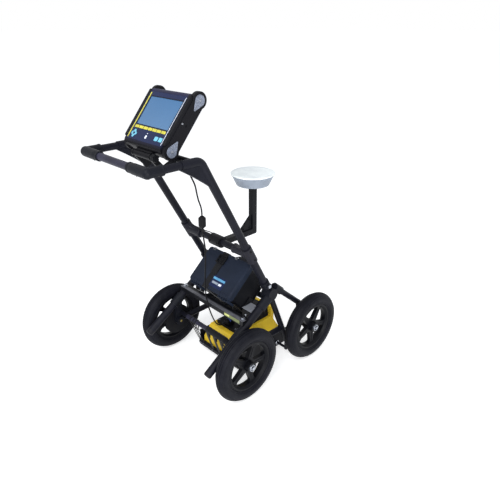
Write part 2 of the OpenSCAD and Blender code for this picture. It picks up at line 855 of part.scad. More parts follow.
module battery_tray() {
    floor = -battery_depth;
    tube_v = (leg_tube_pt.y - box_foot_y) * cos(battery_lean) + (leg_tube_z - box_foot_z) * sin(battery_lean);
    tube_h = (leg_tube_z - box_foot_z) * cos(battery_lean) - (leg_tube_pt.y - box_foot_y) * sin(battery_lean);
    lip_v = case_inset - tray_t;
    color("#b9bcc2") placed() difference() {
        union() {
            box_frame() {
                translate([-tray_w / 2, lip_v, floor - tray_t]) cube([tray_w, tray_len, tray_t]);
                translate([-tray_w / 2, lip_v, floor - tray_t]) cube([tray_w, tray_t, tray_lip]);
                for (i = SIDES) translate([i * (tray_w - tray_t) / 2 - tray_t / 2, lip_v, floor - tray_t])
                    cube([tray_t, tray_side_len, tray_side_h]);
                for (i = SIDES) translate([i * tab_x - tab_t / 2, tube_v - tab_len / 2, tube_h])
                    cube([tab_t, tab_len, floor - tray_t - tube_h + fit_gap]);
            }
            for (i = SIDES) slab_x(i * tab_x - tab_t / 2, tab_t) polygon([
                [shelf_y + shelf_w / 2, shelf_z], [shelf_y + shelf_w / 2, shelf_z + shelf_h],
                lip_point(shelf_z + shelf_h, lip_v + fit_gap), lip_point(shelf_z, lip_v + fit_gap)]);
        }
        bar_x(-rail_x, rail_x, leg_tube_pt.y, leg_tube_z, leg_tube_d + 2 * fit_gap);
    }
}

// Point at a height on a line parallel to the box's lower wall
function lip_point(z, v) =
    let (w = (z - box_foot_z - v * sin(battery_lean)) / cos(battery_lean))
    [box_foot_y + v * cos(battery_lean) - w * sin(battery_lean), z];

module battery_case() {
    rim_h = lid_h / 3;
    cell_len = battery_len - 2 * case_inset - 2 * battery_wall;
    inner_w = battery_w - 2 * case_inset - 2 * tray_t;
    color("#23262d") placed() box_frame() difference() {
        union() {
            translate([0, case_inset, -battery_depth]) linear_extrude(battery_depth - lid_h)
                round_rect(inner_w, battery_len - 2 * case_inset, case_round);
            translate([0, lid_inset, -lid_h - rim_h]) linear_extrude(rim_h)
                round_rect(battery_w - 2 * lid_inset, battery_len - 2 * lid_inset, case_round);
        }
        translate([0, case_inset + battery_wall, battery_wall - battery_depth]) linear_extrude(battery_depth)
            round_rect(inner_w - 2 * battery_wall, cell_len, case_round - battery_wall);
    }
}

module battery() {
    inner_w = battery_w - 2 * case_inset - 2 * tray_t - 2 * battery_wall - 2 * cell_gap;
    cell_len = battery_len - 2 * case_inset - 2 * battery_wall - 2 * cell_gap;
    floor = battery_wall - battery_depth;
    color("#303338") placed() box_frame() translate([0, 0, floor]) {
        translate([0, case_inset + battery_wall + cell_gap, 0]) linear_extrude(cell_h)
            round_rect(inner_w, cell_len, case_round - battery_wall);
        for (i = SIDES) translate([i * inner_w / 3, battery_len / 2, 0]) cylinder(d = post_d, h = cell_h + post_h);
    }
}

module battery_lid() {
    color("#262a33") placed() box_frame() difference() {
        union() {
            translate([0, 0, -lid_h]) linear_extrude(lid_h - channel_depth)
                round_rect(battery_w, battery_len, lid_round);
            translate([0, lid_inset, -channel_depth]) linear_extrude(channel_depth)
                round_rect(battery_w - 2 * lid_inset, battery_len - 2 * lid_inset, lid_round);
        }
        translate([strap_off - strap_w / 2 - move_gap, -overrun, -channel_depth])
            cube([strap_w + 2 * move_gap, battery_len + 2 * overrun, lid_h]);
        for (i = [0 : rib_count - 1]) translate([battery_w / 8 + i * rib_pitch, -overrun, -lid_h + rib_h])
            cube([rib_w, rib_h + overrun, lid_h / 2]);
        translate([0, case_inset + battery_wall, -lid_h - overrun])
            linear_extrude(lid_h - channel_depth - battery_wall + overrun)
            round_rect(battery_w - 4 * case_inset, battery_len - 2 * case_inset - 2 * battery_wall, lid_round / 2);
    }
}

module battery_strap() {
    back = -fit_gap;
    run = battery_len + 2 * fit_gap;
    low = -battery_depth - tray_t - fit_gap;
    drop = -channel_depth - low;
    color("#15161a") placed() box_frame() slab_x(strap_off - strap_w / 2, strap_w) difference() {
        translate([back - webbing_t, low - webbing_t]) square([run + 2 * webbing_t, drop + 2 * webbing_t]);
        translate([back, low]) square([run, drop]);
    }
}

// Satellite antenna

module gps_bracket() {
    back = mast_y - mast_w / 2;
    mast_top = gps_top_z - gps_h;
    color("#18181b") placed() difference() {
        union() {
            translate([-mast_w / 2, back, mast_foot_z]) cube([mast_w, mast_w, mast_top - mast_foot_z]);
            translate([-mast_w / 2, tee_pt.y, mast_foot_z]) cube([mast_w, back - tee_pt.y + overrun, mast_w]);
            slab_x(-gusset_t / 2, gusset_t) polygon([[back + overrun, arm_z],
                [back + overrun, arm_z + gusset_rise], [back, arm_z + gusset_rise],
                [back - gusset_run, mast_foot_z + mast_w], [back - gusset_run, arm_z]]);
            bar_x(-clamp_w / 2, clamp_w / 2, tee_pt.y, tee_pt.z, clamp_d);
            translate([0, mast_y, mast_top - mast_plate_t]) cylinder(d = mast_plate_d, h = mast_plate_t);
        }
        upper_cross_line(cross_tube_d + 2 * fit_gap);
        slab_x(-mast_w, 2 * mast_w) difference() {
            translate([mast_y + mast_w / 2 - mast_round, mast_foot_z - mast_round]) square(2 * mast_round);
            translate([mast_y + mast_w / 2 - mast_round, mast_foot_z + mast_round]) circle(r = mast_round);
        }
    }
}

module gps_base() {
    h = gps_h - gps_rim_h - gps_dome_h;
    color("#c9cdd1") placed() translate([0, mast_y, gps_top_z - gps_h]) {
        cylinder(d1 = gps_foot_d, d2 = gps_d - 2 * gps_rim_round, h = h);
    }
}

module gps_dome() {
    r = gps_d / 2;
    color("#f4f6f7") placed() translate([0, mast_y, gps_top_z - gps_dome_h - gps_rim_h]) {
        rotate_extrude() {
            square([r - gps_rim_round, gps_rim_h]);
            translate([0, gps_rim_round]) square([r, gps_rim_h - 2 * gps_rim_round]);
            for (z = [gps_rim_round, gps_rim_h - gps_rim_round])
                translate([r - gps_rim_round, z]) circle(r = gps_rim_round);
        }
        translate([0, 0, gps_rim_h]) cylinder(r1 = r - gps_rim_round, r2 = r - gps_crown_w, h = gps_dome_h);
    }
}

// Display and its mount

module display_frame() translate([0, pivot_y, pivot_z]) rotate([display_lean, 0, 0]) children();

module display_mount() {
    low = [ear_low_y, ear_low_z];
    color("#151518") placed() difference() {
        union() {
            bar_x(-rail_x, rail_x, mount_pt.y, mount_pt.z, mount_tube_d);
            for (i = SIDES) slab_x(i * (knuckle_w + ear_t) / 2 - ear_t / 2, ear_t) {
                link_2d([mount_pt.y, mount_pt.z], low, ear_w, ear_boss_d);
                link_2d(low, [pivot_y, pivot_z], ear_w, ear_boss_d);
            }
            translate([gland_x, mount_pt.y, mount_pt.z - mount_tube_d / 2 - gland_len])
                cylinder(d = gland_d, h = gland_len + mount_tube_d / 2);
        }
        both_sides() {
            bent_rod(bend_pt, corner_pt, apex_pt, rail_d + 2 * fit_gap, rail_bend_r);
            corner_web(web_t + 2 * fit_gap);
        }
        bar_x(-knuckle_w, knuckle_w, pivot_y, pivot_z, pivot_d + 2 * fit_gap);
    }
}

// Outline of the shell's side, widened by a gap where another piece meets it
module shell_side(gap) translate([foot_v + display_h / 2, face_w - display_depth - gap])
    round_rect(display_h + 2 * gap, display_depth + 2 * gap, shell_round + gap);

module display_shell() {
    floor = face_w - panel_t - cavity_depth;
    face_v = foot_v + face_foot;
    color("#1c1c22") placed() display_frame() {
        difference() {
            slab_x(-display_w / 2, display_w) shell_side(0);
            translate([0, face_v, face_w - panel_t]) linear_extrude(panel_t + overrun)
                round_rect(display_w - 2 * panel_edge, face_h, panel_edge);
            translate([0, face_v + cavity_edge, floor]) linear_extrude(cavity_depth + overrun)
                round_rect(display_w - 2 * panel_edge - 2 * cavity_edge, face_h - 2 * cavity_edge, panel_edge);
        }
        display_knuckle();
    }
}

// Hinge block screwed under the shell
module display_knuckle() {
    half = knuckle_w / 2 - move_gap;
    slab_x(-half, 2 * half) difference() {
        union() {
            circle(d = knuckle_d);
            translate([0, -knuckle_d / 2]) square([foot_v + shell_round / 2, knuckle_d - knuckle_lift]);
        }
        circle(d = pivot_d + 2 * fit_gap);
        shell_side(fit_gap);
    }
}

module display_bumpers() {
    low = [foot_v + lobe_in, face_w - lobe_depth];
    high = [foot_v + display_h - lobe_in + lobe_r / 2, face_w - lobe_depth];
    color("#101014") placed() display_frame() both_sides() difference() {
        slab_x(display_w / 2, bumper_w) {
            bar_2d(low, high, waist_w);
            for (p = [low, high]) translate(p) circle(r = lobe_r);
        }
        bar_x(display_w / 2 + bumper_w - plate_t, display_w, (low.x + high.x) / 2, low.y, side_screw_d);
    }
}

module teardrop(tip) {
    side = acos((plate_r - plate_tip_r) / plate_tip);
    circle(r = plate_r);
    translate([tip * plate_tip, 0]) circle(r = plate_tip_r);
    polygon([for (s = [-side, side]) [tip * plate_r * cos(s), plate_r * sin(s)],
        for (s = [side, -side]) [tip * (plate_tip + plate_tip_r * cos(s)), plate_tip_r * sin(s)]]);
}

module bumper_plates() {
    low = [foot_v + lobe_in, face_w - lobe_depth];
    high = [foot_v + display_h - lobe_in + lobe_r / 2, face_w - lobe_depth];
    color("#8d919c") placed() display_frame() both_sides() difference() {
        slab_x(display_w / 2 + bumper_w, plate_t) {
            translate(low) teardrop(1);
            translate(high) teardrop(-1);
        }
        for (p = [low, high]) bar_x(display_w / 2 + bumper_w + plate_t / 2, display_w, p.x, p.y, side_screw_d);
    }
}

module key_place(x, v) translate([x, v, face_w]) children();

// Outline of a key, widened by a gap for its hole or by a flange for its foot
module key_outline(w, h, extra) translate([0, -h / 2 - extra])
    round_rect(w + 2 * extra, h + 2 * extra, key_round + extra / 2);

module pad_outline(extra) {
    for (a = [0 : 90 : 270]) rotate(a) translate([pad_petal_r, 0]) circle(d = pad_petal_d + 2 * extra);
    circle(r = pad_petal_r + extra / 2);
}

function soft_key_x(i) = (i - (soft_key_count + 1) / 2) * soft_key_pitch + (screen_left + screen_right) / 2;

module display_panel() {
    face_v = foot_v + face_foot;
    color("#20284a") placed() display_frame() difference() {
        translate([0, face_v + move_gap, face_w - panel_t]) linear_extrude(panel_t)
            round_rect(display_w - 2 * panel_edge - 2 * move_gap, face_h - 2 * move_gap, panel_edge);
        translate([0, 0, face_w - panel_t - overrun]) linear_extrude(panel_t + 2 * overrun) {
            translate([screen_left, screen_foot]) square([screen_right - screen_left, screen_top - screen_foot]);
            for (i = [1 : soft_key_count]) translate([soft_key_x(i), soft_key_v])
                key_outline(soft_key_w, soft_key_h, move_gap);
            translate([pad_x, pad_v]) pad_outline(move_gap);
            translate([select_x, select_v]) key_outline(select_w, select_h, move_gap);
            for (i = [0, 1]) translate([square_key_x + i * square_key_pitch, square_key_v])
                key_outline(square_key_w, square_key_h, move_gap);
        }
    }
}

module display_screen() {
    color("#5d86b4") placed() display_frame()
        translate([screen_left + move_gap, screen_foot + move_gap, face_w - panel_t - cavity_depth])
        cube([screen_right - screen_left - 2 * move_gap, screen_top - screen_foot - 2 * move_gap, screen_t]);
}

module tilt_knob() {
    start = knuckle_w / 2 + ear_t + move_gap;
    color("#0f0f12") placed() translate([start, pivot_y, pivot_z]) rotate([0, 90, 0]) difference() {
        union() {
            cylinder(d = knob_d * knob_neck_share, h = knob_w);
            translate([0, 0, knob_w / 4]) linear_extrude(knob_w * 3 / 4) {
                circle(d = knob_d * knob_core_share);
                for (i = [0 : knob_lobes - 1]) rotate(i * 360 / knob_lobes)
                    translate([knob_d * knob_lobe_place_share, 0]) circle(d = knob_d * knob_lobe_share);
            }
        }
        translate([0, 0, -overrun]) cylinder(d = pivot_d + 2 * fit_gap, h = knob_w * 3 / 4 + overrun);
    }
}

// A key with a foot that keeps it behind the panel
module key_body() {
    translate([0, 0, -panel_t - move_gap]) linear_extrude(panel_t + move_gap + key_rise) children(0);
    translate([0, 0, -panel_t - move_gap - key_flange_t]) linear_extrude(key_flange_t) children(1);
}

module plain_key(x, v, w, h) placed() display_frame() key_place(x, v) key_body() {
    key_outline(w, h, 0);
    key_outline(w, h, key_flange);
}

module arrow_pad() color("#7fd4e8") placed() display_frame() key_place(pad_x, pad_v) key_body() {
    pad_outline(0);
    pad_outline(key_flange);
}

module select_key() color("#dfe4ee") plain_key(select_x, select_v, select_w, select_h);

module left_key() color("#9fe6f0") plain_key(square_key_x, square_key_v, square_key_w, square_key_h);

module right_key() color("#9fe6f0") plain_key(square_key_x + square_key_pitch, square_key_v, square_key_w,
    square_key_h);

module soft_key(i) color("#e3df5c") plain_key(soft_key_x(i), soft_key_v, soft_key_w, soft_key_h);

// Wheels, axles and odometer

module wheel_place(side, y, phase) placed() translate([side * track / 2, y, axle_z]) rotate([90, 0, 90])
    rotate(phase) children();

module tyre() {
    bead_w = rim_w - 2 * flange_t;
    color("#17171a") rotate_extrude($fn = 96) difference() {
        union() {
            translate([tyre_mid_r, 0]) circle(d = tyre_w);
            translate([rim_d / 2, -bead_w / 2]) square([bead_h, bead_w]);
        }
        translate([0, -tyre_w]) square([rim_d / 2, 2 * tyre_w]);
        for (a = [-groove_pitch, 0, groove_pitch]) translate([wheel_d / 2 - groove_depth, a - groove_w / 2])
            square([groove_depth + overrun, groove_w]);
    }
}

// One spoke, waisted and flared where it meets the rim's band
module spoke_outline() {
    band_r = rim_d / 2 - rim_band_t;
    tip_r = rim_d / 2 - rim_band_t / 2;
    polygon([[0, -spoke_root_w / 2], [band_r - spoke_flare, -spoke_w / 2], [tip_r, -spoke_tip_w / 2],
        [tip_r, spoke_tip_w / 2], [band_r - spoke_flare, spoke_w / 2], [0, spoke_root_w / 2]]);
}

// Section of the rim's band: narrow inside, with a flange on each side of the tyre
module rim_section() {
    seat = rim_d / 2;
    inner = spoke_t / 2 + rim_lip;
    polygon([[seat - rim_band_t, -inner], [seat - flange_t, -rim_w / 2], [seat + flange_h, -rim_w / 2],
        [seat + flange_h, flange_t - rim_w / 2], [seat, flange_t - rim_w / 2], [seat, rim_w / 2 - flange_t],
        [seat + flange_h, rim_w / 2 - flange_t], [seat + flange_h, rim_w / 2], [seat - flange_t, rim_w / 2],
        [seat - rim_band_t, inner]]);
}

module rim() {
    color("#1f1f23") difference() {
        union() {
            rotate_extrude($fn = 96) rim_section();
            translate([0, 0, -spoke_t / 2]) linear_extrude(spoke_t) {
                circle(d = hub_d + 2 * hub_web);
                for (i = [0 : spoke_count - 1]) rotate(i * 360 / spoke_count) spoke_outline();
            }
            translate([0, 0, -hub_w / 2]) cylinder(d = hub_d, h = hub_w);
        }
        translate([0, 0, -hub_w]) cylinder(d = hub_bore_d, h = 2 * hub_w);
        for (z = [-hub_w / 2 - overrun, hub_w / 2 - bearing_w - move_gap]) translate([0, 0, z])
            cylinder(d = bearing_d + 2 * fit_gap, h = bearing_w + move_gap + overrun);
    }
}

module at_axles() for (side = SIDES, y = [0, wheelbase]) translate([side * track / 2, y, axle_z])
    rotate([0, side * 90, 0]) children();

module axle() {
    inner = boss_inner_x - track / 2;
    outer = axle_end_x - track / 2;
    shoulder = boss_outer_x - track / 2;
    difference() {
        union() {
            translate([0, 0, inner]) cylinder(d = axle_d, h = outer - inner);
            translate([0, 0, shoulder]) cylinder(d = shoulder_d, h = shoulder_w);
            translate([0, 0, hub_w / 2 + hub_gap]) cylinder(d = washer_d, h = washer_t);
        }
        translate([0, -axle_d, pin_x - track / 2]) rotate([-90, 0, 0])
            cylinder(d = pin_d + 2 * fit_gap, h = 2 * axle_d);
    }
}

module axles() color("#9a9da3") placed() at_axles() axle();

module wheel_bearings() {
    color("#b4b7bd") placed() at_axles() for (z = [-hub_w / 2, hub_w / 2 - bearing_w]) translate([0, 0, z])
        difference() {
            cylinder(d = bearing_d, h = bearing_w);
            translate([0, 0, -overrun]) cylinder(d = axle_d + 2 * fit_gap, h = bearing_w + 2 * overrun);
        }
}

module linch_pin() {
    z = pin_x - track / 2;
    translate([0, -pin_len / 2, z]) rotate([-90, 0, 0]) cylinder(d = pin_d, h = pin_len);
    translate([0, 0, z]) rotate_extrude() translate([ring_d / 2, 0]) circle(d = ring_wire_d);
}

module bolt_head(x, y, z) translate([x, y, z]) rotate([0, 90, 0])
    cylinder(d = bolt_head_d, h = bolt_head_t, $fn = 6);

module fasteners() {
    shank = knuckle_w / 2 + ear_t;
    color("#c4c7cc") placed() {
        at_axles() linch_pin();
        bar_x(-shank - bolt_head_t, shank + knob_w / 2, pivot_y, pivot_z, pivot_d);
        bolt_head(-shank - bolt_head_t, pivot_y, pivot_z);
        both_sides() bolt_head(clamp_face, clamp_pt.y, clamp_pt.z);
    }
}

module odometer() {
    x0 = rear_tube_x + hanger_t / 2 + fit_gap;
    color("#18191c") placed() mirror([1, 0, 0]) difference() {
        union() {
            bar_x(x0, x0 + odometer_t, 0, axle_z, odometer_d);
            bar_x(x0 + odometer_t, x0 + odometer_t + odometer_cap_t - hub_gap, 0, axle_z, odometer_cap_d);
        }
        bar_x(x0 - overrun, x0 + odometer_t + odometer_cap_t, 0, axle_z, boss_d + 2 * fit_gap);
    }
}

// Leads

module display_cable() color("#0d0d0f") placed() cord(display_cable_route, display_cable_d);

module inline_connector() {
    run = connector_top_pt - connector_foot_pt;
    neck = connector_neck_len;
    color("#141417") placed() along(connector_foot_pt, run) {
        cylinder(d1 = connector_neck_d, d2 = connector_d, h = neck);
        translate([0, 0, neck]) cylinder(d = connector_d, h = norm(run) - 2 * neck);
        translate([0, 0, norm(run) - neck]) cylinder(d1 = connector_d, d2 = connector_neck_d, h = neck);
    }
}

module radar_cable() color("#0d0d0f") placed() cord(radar_cable_route, display_cable_d);

module gps_cable() color("#0d0d0f") placed() cord(gps_cable_route, gps_cable_d);

handlebar_tube();
handle_elbows();
side_rails();
tee_fittings();
cross_tubes();
apex_fittings();
rear_tubes();
tube_end_caps();
front_legs();
front_struts();
axle_hangers();
lower_rails();
shelf_bar();
suspension_straps();
skid_tray();
radar_housing();
radar_cover();
radar_connectors();
battery_tray();
battery_case();
battery();
battery_lid();
battery_strap();
gps_bracket();
gps_base();
gps_dome();
display_mount();
axles();
wheel_bearings();
fasteners();
odometer();
display_cable();
inline_connector();
radar_cable();
gps_cable();
display_shell();
display_bumpers();
bumper_plates();
display_panel();
display_screen();
tilt_knob();
wheel_place(-1, 0, rear_left_phase) tyre();  // tyre_rear_left
wheel_place(1, 0, rear_right_phase) tyre();  // tyre_rear_right
wheel_place(-1, wheelbase, front_left_phase) tyre();  // tyre_front_left
wheel_place(1, wheelbase, front_right_phase) tyre();  // tyre_front_right
wheel_place(-1, 0, rear_left_phase) rim();  // rim_rear_left
wheel_place(1, 0, rear_right_phase) rim();  // rim_rear_right
wheel_place(-1, wheelbase, front_left_phase) rim();  // rim_front_left
wheel_place(1, wheelbase, front_right_phase) rim();  // rim_front_right
arrow_pad();
select_key();
left_key();
right_key();
soft_key(1);  // soft_key_1
soft_key(2);  // soft_key_2
soft_key(3);  // soft_key_3
soft_key(4);  // soft_key_4
soft_key(5);  // soft_key_5
soft_key(6);  // soft_key_6
soft_key(7);  // soft_key_7
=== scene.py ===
"""Looks of a ground penetrating radar cart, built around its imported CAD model.

Metres, in the CAD model's frame: +X is the operator's right, +Y forwards, +Z up. Shapes are written in millimetres,
from the ground under the middle of the rear axle.
"""

import json
import math

import bmesh
import bpy
from bpy.props import FloatProperty, FloatVectorProperty, PointerProperty
from mathutils import Matrix, Vector

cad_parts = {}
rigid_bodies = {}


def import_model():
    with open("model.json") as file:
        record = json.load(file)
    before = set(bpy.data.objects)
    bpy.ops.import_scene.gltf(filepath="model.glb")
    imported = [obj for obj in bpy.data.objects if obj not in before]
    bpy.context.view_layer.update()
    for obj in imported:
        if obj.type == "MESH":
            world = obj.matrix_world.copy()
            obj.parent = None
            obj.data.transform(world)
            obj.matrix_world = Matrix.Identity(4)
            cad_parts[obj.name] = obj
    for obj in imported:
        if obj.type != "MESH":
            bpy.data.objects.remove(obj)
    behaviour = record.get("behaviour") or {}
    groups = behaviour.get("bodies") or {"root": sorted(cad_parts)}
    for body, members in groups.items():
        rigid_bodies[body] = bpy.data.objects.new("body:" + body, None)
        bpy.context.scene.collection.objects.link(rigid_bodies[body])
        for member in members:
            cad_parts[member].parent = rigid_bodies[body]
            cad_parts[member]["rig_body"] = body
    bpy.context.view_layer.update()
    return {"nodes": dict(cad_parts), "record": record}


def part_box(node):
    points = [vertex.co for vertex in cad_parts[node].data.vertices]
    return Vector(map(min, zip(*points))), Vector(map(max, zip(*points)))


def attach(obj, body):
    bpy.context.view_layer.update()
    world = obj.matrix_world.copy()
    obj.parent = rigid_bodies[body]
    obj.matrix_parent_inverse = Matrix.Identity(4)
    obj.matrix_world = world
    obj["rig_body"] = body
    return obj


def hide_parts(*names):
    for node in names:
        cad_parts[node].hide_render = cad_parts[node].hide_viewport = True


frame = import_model()
NODES = frame["nodes"]
SLOT_OF = {part["node"]: part["material_slot"] for part in frame["record"]["subparts"]}

bl_info = {
    "name": "Radar cart looks",
    "version": (1, 0, 0),
    "blender": (4, 5, 0),
    "location": "View3D > Sidebar > Radar cart",
    "description": "Finishes and small pieces of a ground penetrating radar cart",
    "category": "Object",
}

MM = 0.001
SIDES = (-1, 1)
ACROSS, AHEAD, BACK, UP, DOWN = (1, 0, 0), (0, 1, 0), (0, -1, 0), (0, 0, 1), (0, 0, -1)
WHITE = (1.0, 1.0, 1.0, 1.0)
SKY = (0.93, 0.96, 1.0, 1.0)
FLOOR_HALF = 80.0
SENSOR = 36.0

# Points nearer than MERGE are one, faces that turn by less than FLAT are one, and edges that turn by more than SHARP,
# or BENT on webbing, stay sharp. A flat face with more than MANY_SIDED corners may be a ring
MERGE = 1e-6
FLAT = math.radians(0.5)
SHARP = math.radians(34)
BENT = math.radians(60)
MANY_SIDED = 24

# Wheels: each one's side and its axle's place along the cart, and how far its spokes are turned
AXLE_Y, AXLE_Z, TRACK_HALF = -103.0, 159.0, 255.0
WHEELS = {"rear_left": (-1, 0), "rear_right": (1, 0), "front_left": (-1, 404), "front_right": (1, 404)}
WHEEL_PHASES = {"rear_left": 205.0, "rear_right": 213.0, "front_left": 240.0, "front_right": 201.5}
SPOKES = 5
TYRE_RING, TYRE_SECTION = 131.0, 28.0
RIDGES = (112.5, 120.0, 146.5)

# Frame: rails' places across, handlebar, upper cross tube and the way the rails run down and ahead
RAIL_X = 188
HANDLE_Y, HANDLE_Z = -339, 1012
CROSS_Y, CROSS_Z = 79.6, 605
RAIL_RUN = (0.4748, -0.8801)

# Edge roundings of the frame's nodes
FRAME_EDGES = {"handle_elbows": 1.6, "side_rails": 2.0, "tee_fittings": 1.8, "cross_tubes": 0, "apex_fittings": 1.5,
               "rear_tubes": 0, "tube_end_caps": 0, "front_legs": 1.5, "front_struts": 0, "axle_hangers": 2.0,
               "lower_rails": 0, "shelf_bar": 1.4}

# Hanging straps: their places as shares of the skid's half width, their widths and their leans about one height
STRAPS = ((-0.94, 5.5, 0.05), (-0.82, 5.5, 0.10), (-0.70, 5.5, 0.10), (-0.12, 15.5, 0.2), (0.23, 15.5, 0.2),
          (0.56, 15.5, 0.2), (0.70, 5.5, 0.16), (0.82, 5.5, 0.12), (0.94, 5.5, 0.05))
LEAN_FROM = 126.0
SKID_HALF = 130
STRAP_BAR, STRAP_FOOT = Vector((14, 194)), Vector((57.9, 58))
STRAP_BOW = 5

# Lead routes
DISPLAY_LEAD = [
    (112, -130, 969), (111.5, -127, 954.5), (109.5, -120.5, 940.5), (106.5, -113, 928), (103, -105, 915.5),
    (99, -97.5, 902.5), (95, -91.5, 889), (90.5, -86, 875), (86, -80.5, 861.5), (81.5, -74.5, 848.5),
    (76, -68, 835.5), (71, -60.5, 823), (65.5, -53, 811), (61, -46, 798), (57, -40.5, 784), (54, -37.5, 769.5),
    (52, -36, 757.7)]
RADAR_LEAD = [
    (44, -30, 704.8), (42, -28.5, 693), (39.5, -25.5, 675), (36, -20.5, 657.5), (33, -16, 640), (30.5, -11.5, 622),
    (28.5, -9, 604), (26.5, -7.5, 585.5), (25, -6.5, 567), (23.5, -6, 549), (22, -6, 530.5), (20.5, -6, 512),
    (18.5, -6, 493.5), (16.5, -5.5, 475.5), (14, -5, 457), (12, -4, 438.5), (10, -2.5, 420.5), (8, -0.5, 402),
    (6.5, 2, 384), (4.5, 5, 365.5), (2.5, 9.5, 348), (0.5, 14, 330), (0, 18.5, 312), (0, 23, 294.5),
    (0, 28.5, 276.5), (0, 34.5, 259), (0, 41, 242), (0, 48.5, 225), (0, 57.5, 209), (0, 70, 195), (0, 86, 187),
    (0, 96, 187)]
ANTENNA_LEAD = [
    (-172, 55, 650), (-163, 55, 650), (-152, 56, 648), (-141, 59, 644), (-130, 62, 638), (-119, 66, 632),
    (-108, 70, 627), (-97, 74, 624), (-87, 79, 623), (-77, 85, 622), (-67, 92, 619), (-58, 100, 614),
    (-50, 108, 607), (-43, 117, 600), (-37, 126, 595), (-31, 134, 592), (-24, 140, 590), (-12.5, 140, 590)]


def paint(code):
    """Colour written as six hex digits, as sRGB shares."""
    return tuple(int(code[i:i + 2], 16) / 255 for i in (0, 2, 4))


def linear(colour, gain=1.0):
    """An sRGB colour as the linear RGBA that a shader socket takes."""
    shares = [c / 12.92 if c <= 0.04045 else ((c + 0.055) / 1.055) ** 2.4 for c in colour]
    return tuple(min(1.0, s * gain) for s in shares) + (1.0,)


def place(x, y, z):
    """Point of the cart in metres, given from the rear axle in millimetres."""
    return Vector((x, y + AXLE_Y, z)) * MM


def tilted(x, y, z, degrees):
    """Frame at a point of the cart, tilted about the cart's width."""
    return Matrix.Translation(place(x, y, z)) @ Matrix.Rotation(math.radians(degrees), 4, "X")


# Frames: the cart, then the display from its pivot and the battery box from its lid's foot, with y up the face and z
# out of it
CART = Matrix.Translation(place(0, 0, 0))
DISPLAY = tilted(0, -232, 1016, 50)
BOX = tilted(0, 16, 403, 41)


def colour_prop(name, description, code):
    """Colour that a user can change, kept as sRGB."""
    return FloatVectorProperty(name=name, description=description, default=paint(code), subtype="COLOR_GAMMA",
                               size=3, min=0.0, max=1.0)


def number_prop(name, description, default, unit="NONE", low=0.0):
    """Number that a user can change."""
    return FloatProperty(name=name, description=description, default=default, min=low, unit=unit)


def length_prop(name, description, default):
    """Length that a user can change."""
    return number_prop(name, description, default, "LENGTH")


class CartColours(bpy.types.PropertyGroup):
    """Colours of the cart's finishes."""
    tube: colour_prop("Frame tube", "Powder coat on the frame's tubes", "12131b")
    fitting: colour_prop("Frame fitting", "Moulded elbows and fittings", "11131a")
    tee: colour_prop("Tee fitting", "Moulded tees on the upper cross tube", "1a1a22")
    end_cap: colour_prop("End cap", "Rubber caps on the rear tubes", "1a1a1f")
    # Pale colour of the highlight painted along the rear edge of the shelf bar's top
    shelf: colour_prop("Shelf bar", "Rubbed top of the bar under the battery box", "67686f")
    webbing: colour_prop("Webbing", "Straps of the radar and the battery", "0d0e12")
    skid: colour_prop("Skid", "Sheet plastic of the skid", "101117")
    radar: colour_prop("Radar housing", "Moulded housing of the radar antenna", "f7d138")
    cover: colour_prop("Radar cover", "Moulded cover on the radar", "0e0f13")
    connector: colour_prop("Connector ring", "Coloured rings of the connectors", "35488f")
    sheet: colour_prop("Aluminium", "Bare sheet of the battery tray", "b2b6c0")
    box: colour_prop("Battery box", "Moulded battery box", "1b2230")
    bracket: colour_prop("Bracket", "Powder coat on the antenna bracket", "0d0e12")
    antenna_foot: colour_prop("Antenna foot", "Moulded foot of the satellite antenna", "8c95a2")
    antenna_top: colour_prop("Antenna top", "Moulded top of the satellite antenna", "e4ebf1")
    steel: colour_prop("Steel", "Zinc plated axles, pins and bolts", "b4b8c0")
    jacket: colour_prop("Lead jacket", "Rubber jacket of the leads", "0b0b0e")
    shell: colour_prop("Display shell", "Moulded shell of the display", "20213a")
    bumper: colour_prop("Bumper", "Rubber bumpers of the display", "0d0d12")
    plate: colour_prop("Bumper plate", "Plates on the display's bumpers", "858d9f")
    panel: colour_prop("Key panel", "Printed film round the keys", "172143")
    screen: colour_prop("Screen", "Screen of the display", "39648e")
    key_yellow: colour_prop("Soft key", "Row of keys under the screen", "c6bf4e")
    key_cyan: colour_prop("Arrow key", "Arrow pad and square keys", "6fb2ca")
    key_white: colour_prop("Select key", "Small key in the middle", "dfe6f2")
    tyre: colour_prop("Tyre", "Rubber of the tyres", "0f1017")
    rim: colour_prop("Rim", "Moulded rims", "0b0c11")
    # Olive of the shelf bar's sticker: painted shade and a painted reflection of the yellow housing on the bar's front
    label: colour_prop("Label", "Plain sticker on the shelf bar", "737b52")
    label_pale: colour_prop("Label patch", "Pale patch of the shelf bar's sticker", "cfd386")
    # Paler coat of the handlebar, also painted on a thin sleeve over the suspension bar as a highlight
    grip: colour_prop("Handlebar", "Rubbed powder coat on the handlebar", "2b2b39")
    label_blue: colour_prop("Label band", "Band of the plain battery label", "5e9cc4")


class CartSizes(bpy.types.PropertyGroup):
    """Sizes of the cart's small pieces."""
    webbing_w: length_prop("Battery strap", "Width of the battery strap", 0.035)
    lead_d: length_prop("Lead", "Diameter of the display and radar leads", 0.006)
    antenna_lead_d: length_prop("Antenna lead", "Diameter of the satellite antenna's lead", 0.004)
    screw_d: length_prop("Screw", "Diameter of a small screw's head", 0.0072)
    bolt_d: length_prop("Bolt", "Width of a bolt's head", 0.013)
    webbing_t: length_prop("Webbing", "Thickness of the webbing", 0.0022)
    ridge_d: length_prop("Tyre ridge", "Width of the ridges on a tyre's side", 0.0032)


